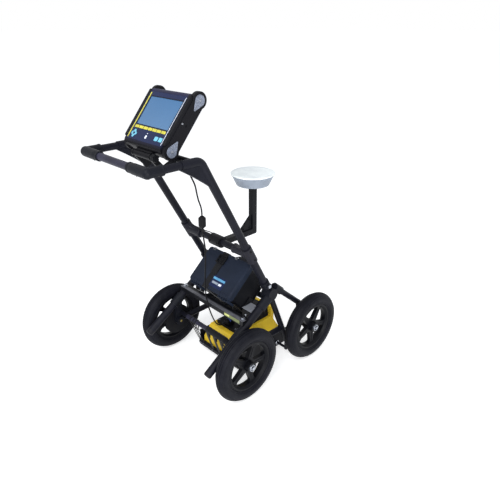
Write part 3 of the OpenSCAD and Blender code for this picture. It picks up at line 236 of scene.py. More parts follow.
class StageSettings(bpy.types.PropertyGroup):
    """Camera, light and floor."""
    floor: colour_prop("Floor", "Colour of the floor", "f2f2f2")
    floor_glow: number_prop("Floor glow", "Light of the floor where it is seen", 0.5)
    daylight: number_prop("Daylight", "Strength of the light from all round", 0.62)
    key_power: number_prop("Key light", "Power of the large lamp", 95.0, "POWER")
    fill_power: number_prop("Fill light", "Power of the small lamp", 58.0, "POWER")
    camera_at: FloatVectorProperty(name="Camera", description="Place of the camera",
                                   default=(1.3768, -1.1801, 1.4157), subtype="TRANSLATION", unit="LENGTH")
    azimuth: number_prop("Azimuth", "Side the camera looks from", math.radians(45.7), "ROTATION", -math.pi)
    elevation: number_prop("Elevation", "How steeply the camera looks down", math.radians(25.5), "ROTATION", -math.pi)
    lens: number_prop("Lens", "Focal length", 34.5, low=1.0)


class RadarCartSettings(bpy.types.PropertyGroup):
    """Everything a user would change."""
    colours: PointerProperty(type=CartColours)
    sizes: PointerProperty(type=CartSizes)
    stage: PointerProperty(type=StageSettings)


class Nodes:
    """A node tree, with short ways to add and link its nodes."""

    def __init__(self, tree):
        self.tree = tree

    def add(self, kind, inputs, **settings):
        """A node with its settings, whose inputs are numbers or other nodes' sockets."""
        node = self.tree.nodes.new(kind)
        for key, value in settings.items():
            setattr(node, key, value)
        for key, value in inputs.items():
            self.feed(node.inputs[key], value)
        return node

    def feed(self, socket, value):
        """Links a socket, or sets its number."""
        if isinstance(value, bpy.types.NodeSocket):
            self.tree.links.new(value, socket)
        else:
            socket.default_value = value

    def combine(self, operation, first, second):
        """Two patterns, or a pattern and a number, put together."""
        return self.add("ShaderNodeMath", {0: first, 1: second}, operation=operation).outputs["Value"]

    def seen(self):
        """One where a camera, glossy or transmitted ray looks."""
        path = self.add("ShaderNodeLightPath", {})
        last = path.outputs["Is Camera Ray"]
        for ray in ("Is Glossy Ray", "Is Transmission Ray"):
            last = self.combine("MAXIMUM", last, path.outputs[ray])
        return last


class Finish(Nodes):
    """A principled material whose textures lie on Object coordinates."""

    def __init__(self, name, colour, turn=(0, 0, 0), **sockets):
        self.material = bpy.data.materials.new(name)
        self.material.use_nodes = True
        super().__init__(self.material.node_tree)
        self.shader = self.tree.nodes["Principled BSDF"]
        self.colour = colour
        self.turn = turn
        self.maps = {}
        self.feed(self.shader.inputs["Base Color"], linear(colour))
        for socket, value in sockets.items():
            self.feed(self.shader.inputs[socket.replace("_", " ")], value)

    def coords(self, stretch=(1, 1, 1)):
        """Object coordinates, turned and stretched, made once for each stretch."""
        if stretch not in self.maps:
            where = self.add("ShaderNodeTexCoord", {}).outputs["Object"]
            mapping = self.add("ShaderNodeMapping", {"Vector": where, "Scale": stretch, "Rotation": self.turn})
            self.maps[stretch] = mapping.outputs["Vector"]
        return self.maps[stretch]

    def noise(self, scale, detail=3.0, roughness=0.55, stretch=(1, 1, 1)):
        """Cloudy pattern from 0 to 1."""
        return self.add("ShaderNodeTexNoise", {"Vector": self.coords(stretch), "Scale": scale, "Detail": detail,
                                               "Roughness": roughness}).outputs["Fac"]

    def cells(self, scale):
        """Grain of small cells."""
        return self.add("ShaderNodeTexVoronoi", {"Vector": self.coords(), "Scale": scale}).outputs["Distance"]

    def bands(self, scale, axis):
        """Even bands across one axis."""
        return self.add("ShaderNodeTexWave", {"Vector": self.coords(), "Scale": scale},
                        bands_direction=axis).outputs["Fac"]

    def along(self, axis):
        """Place along an axis, in metres."""
        return self.add("ShaderNodeSeparateXYZ", {"Vector": self.coords()}).outputs[axis]

    def spread(self, value, low, high, out_low=0.0, out_high=1.0):
        """Part of a pattern, spread over a new range."""
        return self.add("ShaderNodeMapRange", {"Value": value, "From Min": low, "From Max": high, "To Min": out_low,
                                               "To Max": out_high}).outputs["Result"]

    def mix(self, factor, first, second):
        """Two colours mixed by a pattern."""
        return self.add("ShaderNodeMix", {0: factor, 6: first, 7: second}, data_type="RGBA").outputs[2]

    def tones(self, pattern, first, second, low=0.3, high=0.7):
        """The finish's own colour, at two gains along a pattern."""
        return self.mix(self.spread(pattern, low, high), linear(self.colour, first), linear(self.colour, second))

    def laid(self, pattern, share, over, under):
        """A colour laid over another by a share of a pattern."""
        return self.mix(self.combine("MULTIPLY", pattern, share), under, over)

    def done(self, tone, gloss, relief=None):
        """The material, with its tone, roughness as (pattern, low, high) and bump as (pattern, strength, metres)."""
        pattern, low, high = gloss
        self.feed(self.shader.inputs["Base Color"], tone)
        self.feed(self.shader.inputs["Roughness"], self.spread(pattern, 0.3, 0.7, low, high))
        if relief:
            height, strength, depth = relief
            bump = self.add("ShaderNodeBump", {"Height": height, "Strength": strength, "Distance": depth})
            self.feed(self.shader.inputs["Normal"], bump.outputs["Normal"])
        return self.material


def powder_coat(name, colour):
    """Satin coat with a fine orange peel, a little uneven, with light scuffs."""
    f = Finish(name, colour, Specular_IOR_Level=0.12)
    cloud = f.noise(14)
    scuffs = f.spread(f.noise(3, 5, stretch=(60, 60, 9)), 0.64, 0.8)
    tone = f.laid(scuffs, 0.22, linear(colour, 3.0), f.tones(cloud, 0.8, 1.3, 0.35, 0.65))
    return f.done(tone, (cloud, 0.36, 0.52), (f.noise(900, 2), 0.14, 0.0006))


def shelf_paint(name, colour, highlight_colour):
    """Dark coat, with a pale highlight painted along the rear edge of the bar's top, where the top catches the sky."""
    f = Finish(name, colour, Specular_IOR_Level=0.16)
    low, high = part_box("shelf_bar")
    # Painted highlight: a strip along the rear edge of the top face, broken up by a stretched noise, is laid in the
    # pale colour
    edge = f.spread(f.along("Y"), low.y + 0.021, low.y + 0.013)
    top = f.combine("MULTIPLY", f.spread(f.along("Z"), high.z - 0.0018, high.z - 0.0006), edge)
    highlight_breakup = f.spread(f.noise(2, 5, stretch=(18, 70, 70)), 0.25, 0.6, 0.35, 0.95)
    tone = f.laid(top, highlight_breakup, linear(highlight_colour), f.tones(f.noise(22), 0.8, 1.4, 0.35, 0.65))
    return f.done(tone, (f.noise(14), 0.38, 0.55), (f.noise(900, 2), 0.14, 0.0006))


def moulding(name, colour, roughness=0.5, grain=700.0, depth=0.25, specular=0.12):
    """Moulded plastic with a fine cell grain and faint flow marks."""
    f = Finish(name, colour, Specular_IOR_Level=specular)
    cloud = f.noise(11, 4)
    return f.done(f.tones(cloud, 0.82, 1.22), (cloud, roughness - 0.07, roughness + 0.09),
                  (f.cells(grain), depth, 0.0005))


def shell_moulding(name, colour, foot):
    """Moulded plastic that darkens to a foot colour at the display's lower edge."""
    f = Finish(name, colour, Specular_IOR_Level=0.1)
    cloud = f.noise(11, 4)
    tone = f.mix(f.spread(f.along("Z"), 1.072, 1.048), f.tones(cloud, 0.82, 1.22), linear(foot))
    return f.done(tone, (cloud, 0.38, 0.52), (f.cells(800), 0.2, 0.0005))


def hammered_paint(name, colour):
    """Grey paint with round dimples, darker between them."""
    f = Finish(name, colour, Specular_IOR_Level=0.4)
    dimples, cloud = f.cells(210), f.noise(60, 4)
    tone = f.laid(cloud, 0.3, linear(colour, 0.5), f.tones(dimples, 1.15, 0.6, 0.15, 0.6))
    return f.done(tone, (cloud, 0.3, 0.48), (dimples, 0.4, 0.0008))


def tyre_rubber(name, colour):
    """Matt rubber with dust in its pores and paler scuffs on the tread."""
    f = Finish(name, colour, Specular_IOR_Level=0.1)
    dust = f.spread(f.noise(26, 6, 0.65), 0.45, 0.75)
    tone = f.laid(dust, 0.12, linear(paint("4a4a4e")), f.tones(f.noise(7), 0.85, 1.3, 0.4, 0.7))
    return f.done(tone, (dust, 0.55, 0.75), (f.noise(420, 4), 0.3, 0.0006))


def soft_rubber(name, colour):
    """Smooth rubber of caps, bumpers, leads and keys."""
    f = Finish(name, colour, Specular_IOR_Level=0.14)
    cloud = f.noise(32, 4)
    return f.done(f.tones(cloud, 0.85, 1.18), (cloud, 0.46, 0.62), (f.noise(1300, 2), 0.18, 0.0004))


def housing_yellow(name, colour):
    """Satin yellow moulding, dusty in places, with fine scratches along its length."""
    f = Finish(name, colour, Specular_IOR_Level=0.3)
    cloud = f.noise(9, 5)
    scratch = f.spread(f.noise(2, 4, stretch=(150, 12, 150)), 0.66, 0.74)
    grime = f.spread(f.noise(21, 6, 0.7), 0.56, 0.8)
    dirty = f.laid(grime, 0.3, linear(paint("9a8236")), f.tones(cloud, 0.88, 1.08))
    tone = f.laid(scratch, 0.3, linear(paint("f0dc8c")), dirty)
    return f.done(tone, (cloud, 0.36, 0.52), (f.noise(650), 0.15, 0.0005))


def scuffed_sheet(name, colour):
    """Black sheet plastic, dragged pale along its length."""
    f = Finish(name, colour, Specular_IOR_Level=0.12)
    drag = f.spread(f.noise(1.6, 6, 0.65, (130, 7, 130)), 0.52, 0.72)
    tone = f.laid(drag, 0.18, linear(paint("4b4b50")), f.tones(f.noise(13, 4), 0.8, 1.3))
    return f.done(tone, (drag, 0.42, 0.7), (drag, 0.25, 0.0004))


def brushed_sheet(name, colour):
    """Bare aluminium, brushed across the cart, with a dull skin and spots."""
    f = Finish(name, colour, Metallic=0.5)
    brush = f.noise(1, 4, stretch=(12, 260, 260))
    spots = f.spread(f.noise(38, 5), 0.5, 0.75)
    tone = f.laid(spots, 0.35, linear(colour, 0.55), f.tones(brush, 0.85, 1.05, 0.0, 1.0))
    return f.done(tone, (spots, 0.3, 0.5), (brush, 0.06, 0.0003))


def plated_steel(name, colour):
    """Zinc plate, slightly clouded."""
    f = Finish(name, colour, Metallic=1.0)
    cloud = f.noise(75, 5)
    return f.done(f.tones(cloud, 0.72, 1.0), (cloud, 0.18, 0.36), (f.noise(1500, 2), 0.08, 0.0003))


def woven_webbing(name, colour, lean):
    """Webbing of flat yarns, whose ribs run across a strap that leans back by an angle in degrees."""
    f = Finish(name, colour, (math.radians(lean), 0, 0), Specular_IOR_Level=0.15, Sheen_Weight=0.08,
               Sheen_Roughness=0.5)
    weave = f.combine("MULTIPLY", f.bands(150, "Z"), f.bands(110, "X"))
    fluff = f.noise(160, 4)
    tone = f.laid(fluff, 0.12, linear(paint("3c3d42")), f.tones(weave, 0.75, 1.35, 0.0, 1.0))
    return f.done(tone, (fluff, 0.72, 0.88), (weave, 0.5, 0.0005))


def screen_glass(name, colour):
    """Screen under a clear film, a little paler towards its lower edge."""
    f = Finish(name, colour, Specular_IOR_Level=0.22)
    low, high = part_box("display_screen")
    haze = f.noise(9, 2)
    tone = f.mix(f.spread(f.along("Z"), low.z, high.z), linear(paint("4c7096")), linear(colour))
    return f.done(f.laid(haze, 0.12, linear(paint("6c8cb0")), tone), (haze, 0.16, 0.26))


def printed_film(name, colour):
    """Printed film, even and slightly soft to the light."""
    f = Finish(name, colour, Specular_IOR_Level=0.15)
    cloud = f.noise(24)
    return f.done(f.tones(cloud, 0.9, 1.1), (cloud, 0.34, 0.46), (f.noise(1800, 2), 0.1, 0.0003))


FINISHES = {}


def make_finishes(colours):
    """All finishes, by the record's slot, and the scene's own extra ones."""
    FINISHES.update({
        "frame_tube": powder_coat("tube_powder_coat", colours.tube),
        "frame_fitting": moulding("fitting_moulding", colours.fitting, 0.48, 600),
        "tee": moulding("tee_moulding", colours.tee, 0.5, 600, specular=0.16),
        "end_cap": soft_rubber("end_cap_rubber", colours.end_cap),
        "shelf": shelf_paint("shelf_paint", colours.bracket, colours.shelf),
        "strap": woven_webbing("radar_webbing", colours.webbing, -18.2),
        "battery_webbing": woven_webbing("battery_webbing", colours.webbing, 49),
        "skid": scuffed_sheet("skid_plastic", colours.skid),
        "radar_yellow": housing_yellow("radar_yellow_moulding", colours.radar),
        "cover": moulding("cover_moulding", colours.cover, 0.48, 500),
        "connector": moulding("connector_moulding", colours.connector, 0.4, 900, 0.12),
        "tray": brushed_sheet("tray_aluminium", colours.sheet),
        "battery_box": moulding("battery_box_moulding", colours.box, 0.5, 420, 0.4),
        "battery_cell": moulding("battery_cell_moulding", colours.box, 0.55, 420),
        "bracket": powder_coat("bracket_powder_coat", colours.bracket),
        "antenna_foot": moulding("antenna_foot_moulding", colours.antenna_foot, 0.45, 800, 0.15, 0.4),
        "antenna_top": moulding("antenna_top_moulding", colours.antenna_top, 0.4, 800, 0.12, 0.4),
        "axle_steel": plated_steel("axle_steel", colours.steel),
        "bright_steel": plated_steel("bright_steel", colours.steel),
        "odometer": moulding("odometer_moulding", colours.rim, 0.5, 600),
        "cable": soft_rubber("lead_jacket", colours.jacket),
        "display_case": shell_moulding("display_moulding", colours.shell, colours.bumper),
        "bumper": soft_rubber("bumper_rubber", colours.bumper),
        "plate": hammered_paint("bumper_plate_paint", colours.plate),
        "panel": printed_film("key_panel_film", colours.panel),
        "screen": screen_glass("screen_glass", colours.screen),
        "key_yellow": soft_rubber("soft_key_rubber", colours.key_yellow),
        "key_cyan": soft_rubber("arrow_key_rubber", colours.key_cyan),
        "key_white": soft_rubber("select_key_rubber", colours.key_white),
        "knob": moulding("knob_moulding", colours.cover, 0.42, 700),
        "tyre": tyre_rubber("tyre_rubber", colours.tyre),
        "rim": moulding("rim_moulding", colours.rim, 0.46, 500),
        "label": printed_film("shelf_label_shade_and_reflection_film", colours.label),
        "label_pale": printed_film("shelf_label_patch_film", colours.label_pale),
        "grip": powder_coat("grip_and_painted_highlight_coat", colours.grip),
        "label_blue": printed_film("battery_label_blue_film", colours.label_blue),
        "label_dark": printed_film("battery_label_dark_film", colours.panel),
        "label_white": printed_film("label_white_film", colours.key_white),
        "dark_trim": moulding("dark_trim_moulding", colours.cover, 0.4, 800, 0.15),
        "grey_trim": moulding("grey_trim_moulding", colours.antenna_foot, 0.45, 800, 0.15),
    })


def moved(bm, matrix):
    """A bmesh carried into another frame."""
    bmesh.ops.transform(bm, matrix=matrix, verts=bm.verts)
    return bm


def stood(bm, at, axis):
    """A bmesh made along Z, stood on a point along an axis."""
    turn = Vector(UP).rotation_difference(Vector(axis)).to_matrix().to_4x4()
    return moved(bm, Matrix.Translation(Vector(at) * MM) @ turn)


def joined(parts):
    """Several bmeshes as one."""
    if len(parts) == 1:
        return parts[0]
    whole = bmesh.new()
    scratch = bpy.data.meshes.new("scratch")
    for bm in parts:
        bm.to_mesh(scratch)
        bm.free()
        whole.from_mesh(scratch)
    bpy.data.meshes.remove(scratch)
    return whole


def new_piece(name, parts, slot, finish=None, body="frame", into=CART, replaces=(), wall=0.0):
    """Joins bmeshes of one frame to a piece that rides on a body; a wall, in metres, makes a sheet solid."""
    mesh = bpy.data.meshes.new(name)
    bm = moved(joined(parts), into)
    bm.to_mesh(mesh)
    bm.free()
    mesh.materials.append(FINISHES[finish or slot])
    mesh.shade_smooth()
    mesh.set_sharp_from_angle(angle=BENT if wall else SHARP)
    piece = bpy.data.objects.new(name, mesh)
    bpy.context.scene.collection.objects.link(piece)
    if wall:
        solid = piece.modifiers.new("wall", "SOLIDIFY")
        solid.thickness = wall
        solid.offset = 0.0
        edge = piece.modifiers.new("soft_edge", "BEVEL")
        edge.width = wall * 0.3
        edge.segments = 2
    piece.modifiers.new("even_shading", "WEIGHTED_NORMAL").keep_sharp = True
    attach(piece, body)
    if replaces:
        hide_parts(*replaces)
    return piece


def ease(bm, edges, width, segments=2):
    """Rounds edges."""
    bmesh.ops.bevel(bm, geom=edges, offset=width * MM, offset_type="OFFSET", segments=segments, profile=0.5,
                    affect="EDGES", clamp_overlap=True, material=-1)


def finish_node(node, width=0.0, segments=2, finish=None, split=False):
    """Copy of a CAD node with its sharp edges eased, which stands for it; split cuts flat rings into simple faces."""
    bm = bmesh.new()
    bm.from_mesh(NODES[node].data)
    bmesh.ops.remove_doubles(bm, verts=bm.verts, dist=MERGE)
    bmesh.ops.dissolve_limit(bm, angle_limit=FLAT, verts=bm.verts, edges=bm.edges)
    if split:
        bmesh.ops.connect_verts_concave(bm, faces=[f for f in bm.faces if len(f.verts) > MANY_SIDED])
    if width:
        sharp = [e for e in bm.edges if len(e.link_faces) == 2 and e.calc_face_angle(0.0) > SHARP]
        ease(bm, sharp, width, segments)
    return new_piece(f"{node}_finished", [bm], SLOT_OF[node], finish, NODES[node]["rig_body"], Matrix.Identity(4),
                     (node,))


def spun(bm, axis, steps):
    """A line or ring spun full round an axis through the origin, and closed."""
    bmesh.ops.spin(bm, geom=list(bm.verts) + list(bm.edges), cent=(0, 0, 0), axis=axis, angle=math.tau, steps=steps,
                   use_merge=True)
    bmesh.ops.remove_doubles(bm, verts=bm.verts, dist=MERGE)
    bmesh.ops.recalc_face_normals(bm, faces=bm.faces)
    return bm


def turned(at, axis, profile, segments=32):
    """Round solid spun from a profile of (radius, height) points, stood on a point along an axis."""
    bm = bmesh.new()
    verts = [bm.verts.new((r * MM, 0, h * MM)) for r, h in profile]
    for pair in zip(verts, verts[1:]):
        bm.edges.new(pair)
    return stood(spun(bm, UP, segments), at, axis)


def collar(at, axis, bore, rim, length):
    """Moulded ring round a tube, that starts at a point and runs along an axis."""
    step = (rim - bore) * 0.3
    profile = [(bore, 0), (rim - step, 0), (rim, step), (rim, length - step), (rim - step, length), (bore, length),
               (bore, 0)]
    return turned(at, axis, profile, 48)


def block(size, at, width, segments=2):
    """Rectangular block with eased edges, centred on a point."""
    bm = bmesh.new()
    bmesh.ops.create_cube(bm, size=MM)
    bmesh.ops.scale(bm, vec=size, verts=bm.verts)
    ease(bm, list(bm.edges), width, segments)
    return moved(bm, Matrix.Translation(Vector(at) * MM))


def blocks(size, places, width, segments=2):
    """Like blocks at several points."""
    return [block(size, at, width, segments) for at in places]


def both(x, y, z):
    """A point on the left and the same on the right."""
    return [(side * x, y, z) for side in SIDES]


def screw_head(at, axis, d):
    """Pan head screw with a round socket, standing on a surface."""
    r, h = d / 2, d * 0.34
    profile = [(0, -h * 0.5), (r, -h * 0.5), (r, h * 0.45), (r * 0.86, h * 0.85), (r * 0.62, h), (r * 0.42, h),
               (r * 0.4, h * 0.35), (0, h * 0.3)]
    return turned(at, axis, profile, 20)


def hex_bolt(at, axis, width):
    """Hexagon bolt head with a washer under it."""
    h, r, t = width * 0.42, width * 0.8, width * 0.12
    bm = bmesh.new()
    corner = width * 0.577 * MM
    bmesh.ops.create_cone(bm, cap_ends=True, segments=6, radius1=corner, radius2=corner, depth=h * MM)
    bmesh.ops.translate(bm, vec=(0, 0, (h / 2 + t) * MM), verts=bm.verts)
    ease(bm, list(bm.edges), width * 0.05)
    washer = turned(at, axis, [(0, -t), (r, -t), (r, t * 0.8), (r * 0.95, t), (0, t)], 28)
    return joined([stood(bm, at, axis), washer])


def screws(name, spots, slot="bright_steel", finish="bright_steel", body="frame", into=CART):
    """One piece of screws, each given by its place, its axis and its head's width."""
    new_piece(name, [screw_head(*spot) for spot in spots], slot, finish, body, into)


def strap(path, width, x=0.0, closed=False):
    """Flat strap, to be made solid, along a path of (y, z) points."""
    bm = bmesh.new()
    verts = [bm.verts.new(((x - width / 2) * MM, y * MM, z * MM)) for y, z in path]
    ends = verts[1:] + verts[:1] if closed else verts[1:]
    edges = [bm.edges.new(pair) for pair in zip(verts, ends)]
    grown = bmesh.ops.extrude_edge_only(bm, edges=edges)["geom"]
    across = [v for v in grown if isinstance(v, bmesh.types.BMVert)]
    bmesh.ops.translate(bm, vec=(width * MM, 0, 0), verts=across)
    bmesh.ops.recalc_face_normals(bm, faces=bm.faces)
    return bm


def arc(centre, radius, start, end, steps):
    """Points of (y, z) on an arc, with its angles in degrees."""
    angles = [math.radians(start + (end - start) * i / steps) for i in range(steps + 1)]
    return [(centre[0] + radius * math.cos(a), centre[1] + radius * math.sin(a)) for a in angles]


def border(width, length, line, rise, at):
    """Thin rectangular outline, lying flat."""
    bm = bmesh.new()
    bmesh.ops.create_grid(bm, x_segments=1, y_segments=1, size=0.5 * MM)
    bmesh.ops.scale(bm, vec=(width, length, 1), verts=bm.verts)
    inner = list(bm.faces)
    bmesh.ops.inset_individual(bm, faces=inner, thickness=line * MM, use_even_offset=True)
    bmesh.ops.delete(bm, geom=inner, context="FACES_ONLY")
    bmesh.ops.solidify(bm, geom=bm.faces[:], thickness=rise * MM)
    bmesh.ops.recalc_face_normals(bm, faces=bm.faces)
    return moved(bm, Matrix.Translation(Vector(at) * MM))


class CartOperator(bpy.types.Operator):
    """Common settings of the cart's operators."""
    bl_options = {"REGISTER"}

    @property
    def cart(self):
        """Settings of the cart."""
        return bpy.context.scene.radar_cart


class RADARCART_OT_stage(CartOperator):
    """Camera, floor, lamps, daylight and finishes."""
    bl_idname = "radar_cart.stage"
    bl_label = "Stage"

    def execute(self, context):
        stage = self.cart.stage
        scene = context.scene
        scene.view_settings.view_transform = "Standard"
        self.camera(scene, stage)
        self.daylight(scene, stage)
        self.floor(scene, stage)
        self.lamp(scene, "key_lamp", (0.9, -2.4, 3.3), 2.6, stage.key_power)
        self.lamp(scene, "fill_lamp", (2.6, -1.6, 0.9), 1.8, stage.fill_power)
        make_finishes(self.cart.colours)
        return {"FINISHED"}

    def camera(self, scene, stage):
        """Camera at the photograph's angle."""
        az, el = stage.azimuth, stage.elevation
        back = Vector((math.sin(az) * math.cos(el), -math.cos(az) * math.cos(el), math.sin(el)))
        right = Vector((math.cos(az), math.sin(az), 0))
        turn = Matrix((right, back.cross(right), back)).transposed().to_4x4()
        data = bpy.data.cameras.new("camera")
        data.lens = stage.lens
        data.sensor_width = SENSOR
        data.clip_start = 0.01
        camera = bpy.data.objects.new("camera", data)
        camera.matrix_world = Matrix.Translation(stage.camera_at) @ turn
        scene.collection.objects.link(camera)
        scene.camera = camera

    def daylight(self, scene, stage):
        """Even light from all round, white where it is seen."""
        world = bpy.data.worlds.new("daylight")
        world.use_nodes = True
        nodes = Nodes(world.node_tree)
        soft = nodes.tree.nodes["Background"]
        nodes.feed(soft.inputs["Color"], SKY)
        nodes.feed(soft.inputs["Strength"], stage.daylight)
        white = nodes.add("ShaderNodeBackground", {"Color": WHITE})
        mix = nodes.add("ShaderNodeMixShader", {0: nodes.seen(), 1: soft.outputs[0], 2: white.outputs[0]})
        nodes.feed(nodes.tree.nodes["World Output"].inputs["Surface"], mix.outputs[0])
        scene.world = world

    def floor(self, scene, stage):
        """Pale floor that keeps the cart's shadow."""
        bm = bmesh.new()
        bmesh.ops.create_grid(bm, x_segments=2, y_segments=2, size=FLOOR_HALF)
        mesh = bpy.data.meshes.new("floor")
        bm.to_mesh(mesh)
        bm.free()
        f = Finish("floor_paint", stage.floor, Roughness=0.9, Specular_IOR_Level=0.0, Emission_Color=WHITE)
        f.feed(f.shader.inputs["Emission Strength"], f.combine("MULTIPLY", f.seen(), stage.floor_glow))
        mesh.materials.append(f.material)
        floor = bpy.data.objects.new("floor", mesh)
        scene.collection.objects.link(floor)

    def lamp(self, scene, name, where, size, power):
        """Large soft lamp that looks at the cart's middle."""
        data = bpy.data.lights.new(name, "AREA")
        data.shape = "DISK"
        data.size = size
        data.energy = power
        lamp = bpy.data.objects.new(name, data)
        lamp.location = where
        lamp.rotation_euler = (Vector((0, 0, 0.5)) - Vector(where)).to_track_quat("-Z", "Y").to_euler()
        scene.collection.objects.link(lamp)


class RADARCART_OT_leads(CartOperator):
    """Display lead, radar lead and satellite antenna lead."""
    bl_idname = "radar_cart.leads"
    bl_label = "Leads"

    def execute(self, context):
        sizes = self.cart.sizes
        connector = finish_node("inline_connector", 1.2)
        display = self.lead("display_lead", DISPLAY_LEAD, sizes.lead_d, "display_cable")
        radar = self.lead("radar_lead", RADAR_LEAD, sizes.lead_d, "radar_cable")
        antenna = self.lead("antenna_lead", ANTENNA_LEAD, sizes.antenna_lead_d, "gps_cable")
        place(*DISPLAY_LEAD[0])
        place(*RADAR_LEAD[0])
        place(*ANTENNA_LEAD[0])
        return {"FINISHED"}

    def lead(self, name, points, diameter, node):
        """Round lead along its route."""
        data = bpy.data.curves.new(name, "CURVE")
        data.dimensions = "3D"
        data.resolution_u = 4
        data.bevel_depth = diameter / 2
        data.bevel_resolution = 4
        data.use_fill_caps = True
        spline = data.splines.new("BEZIER")
        spline.bezier_points.add(len(points) - 1)
        for knot, point in zip(spline.bezier_points, points):
            knot.co = place(*point)
            knot.handle_left_type = knot.handle_right_type = "AUTO"
        data.materials.append(FINISHES["cable"])
        lead = bpy.data.objects.new(name, data)
        bpy.context.scene.collection.objects.link(lead)
        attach(lead, "frame")
        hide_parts(node)
        return lead


class RADARCART_OT_frame(CartOperator):
    """Tubes, moulded fittings, shelf bar and end caps of the cart's frame."""
    bl_idname = "radar_cart.frame"
    bl_label = "Frame"

    def execute(self, context):
        finish_node("handlebar_tube", 0.6, finish="grip")
        finish_node("display_mount", 1.4, finish="bracket")
        for node, width in FRAME_EDGES.items():
            finish_node(node, width)
        # Olive sheet on the bar's front, whose colour is painted shade and the yellow housing's painted reflection,
        # under the pale patch
        new_piece("shelf_label", [block((92, 0.8, 15), (140, 24.9, 318), 0.2)], "shelf", "label")
        new_piece("shelf_label_patch", [block((30, 0.8, 8), (110, 24.6, 318.5), 0.2)], "shelf", "label_pale")
        self.collars()
        self.hardware()
        return {"FINISHED"}

    def collars(self):
        """Moulded rings where a tube enters an elbow or a tee."""
        elbows, tees = [], []
        for side in SIDES:
            elbows.append(collar((side * 91, HANDLE_Y, HANDLE_Z), (side, 0, 0), 13.1, 17.4, 8))
            elbows.append(collar((side * RAIL_X, -284, HANDLE_Z), BACK, 13.1, 17.9, 8))
            tees.append(collar((side * 102, CROSS_Y, CROSS_Z), (side, 0, 0), 14.1, 20.6, 8))
        new_piece("elbow_collars", elbows, "frame_fitting")
        new_piece("tee_collars", tees, "tee")

    def hardware(self):
        """Screws of the elbows, tees and hangers, bolts of the shelf bar and the lead's gland nut."""
        spots = []
        for side in SIDES:
            tee = [(CROSS_Y + RAIL_RUN[0] * along, CROSS_Z + RAIL_RUN[1] * along) for along in (-24, 24)]
            spots += [((side * 208.4, y, z), (side, 0, 0), 9) for y, z in tee]
            spots += [((side * 179, y, z), (-side, 0, 0), 9) for y, z in ((-15.3, 256.7), (15.3, 275.9))]
            spots += [((side * 130, HANDLE_Y, 994), DOWN, 8), ((side * RAIL_X, -300, 995.3), DOWN, 8)]
        screws("frame_screws", spots, finish="dark_trim")
        bolt = self.cart.sizes.bolt_d / MM
        new_piece("shelf_bolts", [hex_bolt(at, UP, bolt) for at in both(RAIL_X, 42, 329)], "bright_steel")
        gland = [(3.1, 0), (5.2, 0), (6.4, 2), (6.4, 4), (7.9, 4), (7.9, 10), (7.4, 11), (3.1, 11), (3.1, 0)]
        new_piece("lead_gland", [turned((112, -130.3, 970), UP, gland, 24)], "frame_tube", "dark_trim")


class RADARCART_OT_wheels(CartOperator):
    """Tyres with their ridges, spoked rims, axles, bearings and odometer."""
    bl_idname = "radar_cart.wheels"
    bl_label = "Wheels"

    def execute(self, context):
        for wheel, (side, y) in WHEELS.items():
            finish_node(f"tyre_{wheel}", 0.8, split=True)
            finish_node(f"rim_{wheel}", 2.2, 3)
            hub = Matrix.Translation(place(side * TRACK_HALF, y, AXLE_Z))
            new_piece(f"tyre_ridges_{wheel}", self.ridges(), "tyre", body=f"wheel_{wheel}", into=hub)
            new_piece(f"rim_ribs_{wheel}", self.ribs(WHEEL_PHASES[wheel]), "rim", body=f"wheel_{wheel}", into=hub)
        for node, width in (("axles", 0.6), ("wheel_bearings", 0.4), ("odometer", 2)):
            finish_node(node, width)
        return {"FINISHED"}

    def ridges(self):
        """Raised rings on both sides of a tyre."""
        rings = []
        for radius in RIDGES:
            out = math.sqrt(TYRE_SECTION ** 2 - (radius - TYRE_RING) ** 2)
            for face in SIDES:
                ring = bmesh.new()
                bmesh.ops.create_circle(ring, segments=8, radius=self.cart.sizes.ridge_d / 2)
                moved(ring, Matrix.Translation((0, radius * MM, 0)) @ Matrix.Rotation(math.pi / 2, 4, "Z"))
                rings.append(moved(spun(ring, ACROSS, 96), Matrix.Translation((face * out * MM, 0, 0))))
        return rings

    def ribs(self, phase):
        """Ribs along the spokes and raised rings round the hub's ends."""
        parts = []
        for face in SIDES:
            for i in range(SPOKES):
                turn = Matrix.Rotation(math.radians(phase) + i * math.tau / SPOKES, 4, "X")
                parts.append(moved(block((3.6, 46, 5.2), (face * 9, 60, 0), 1.2), turn))
            parts.append(collar((face * 26.5, 0, 0), (face, 0, 0), 15.2, 23.2, 2.4))
        return parts


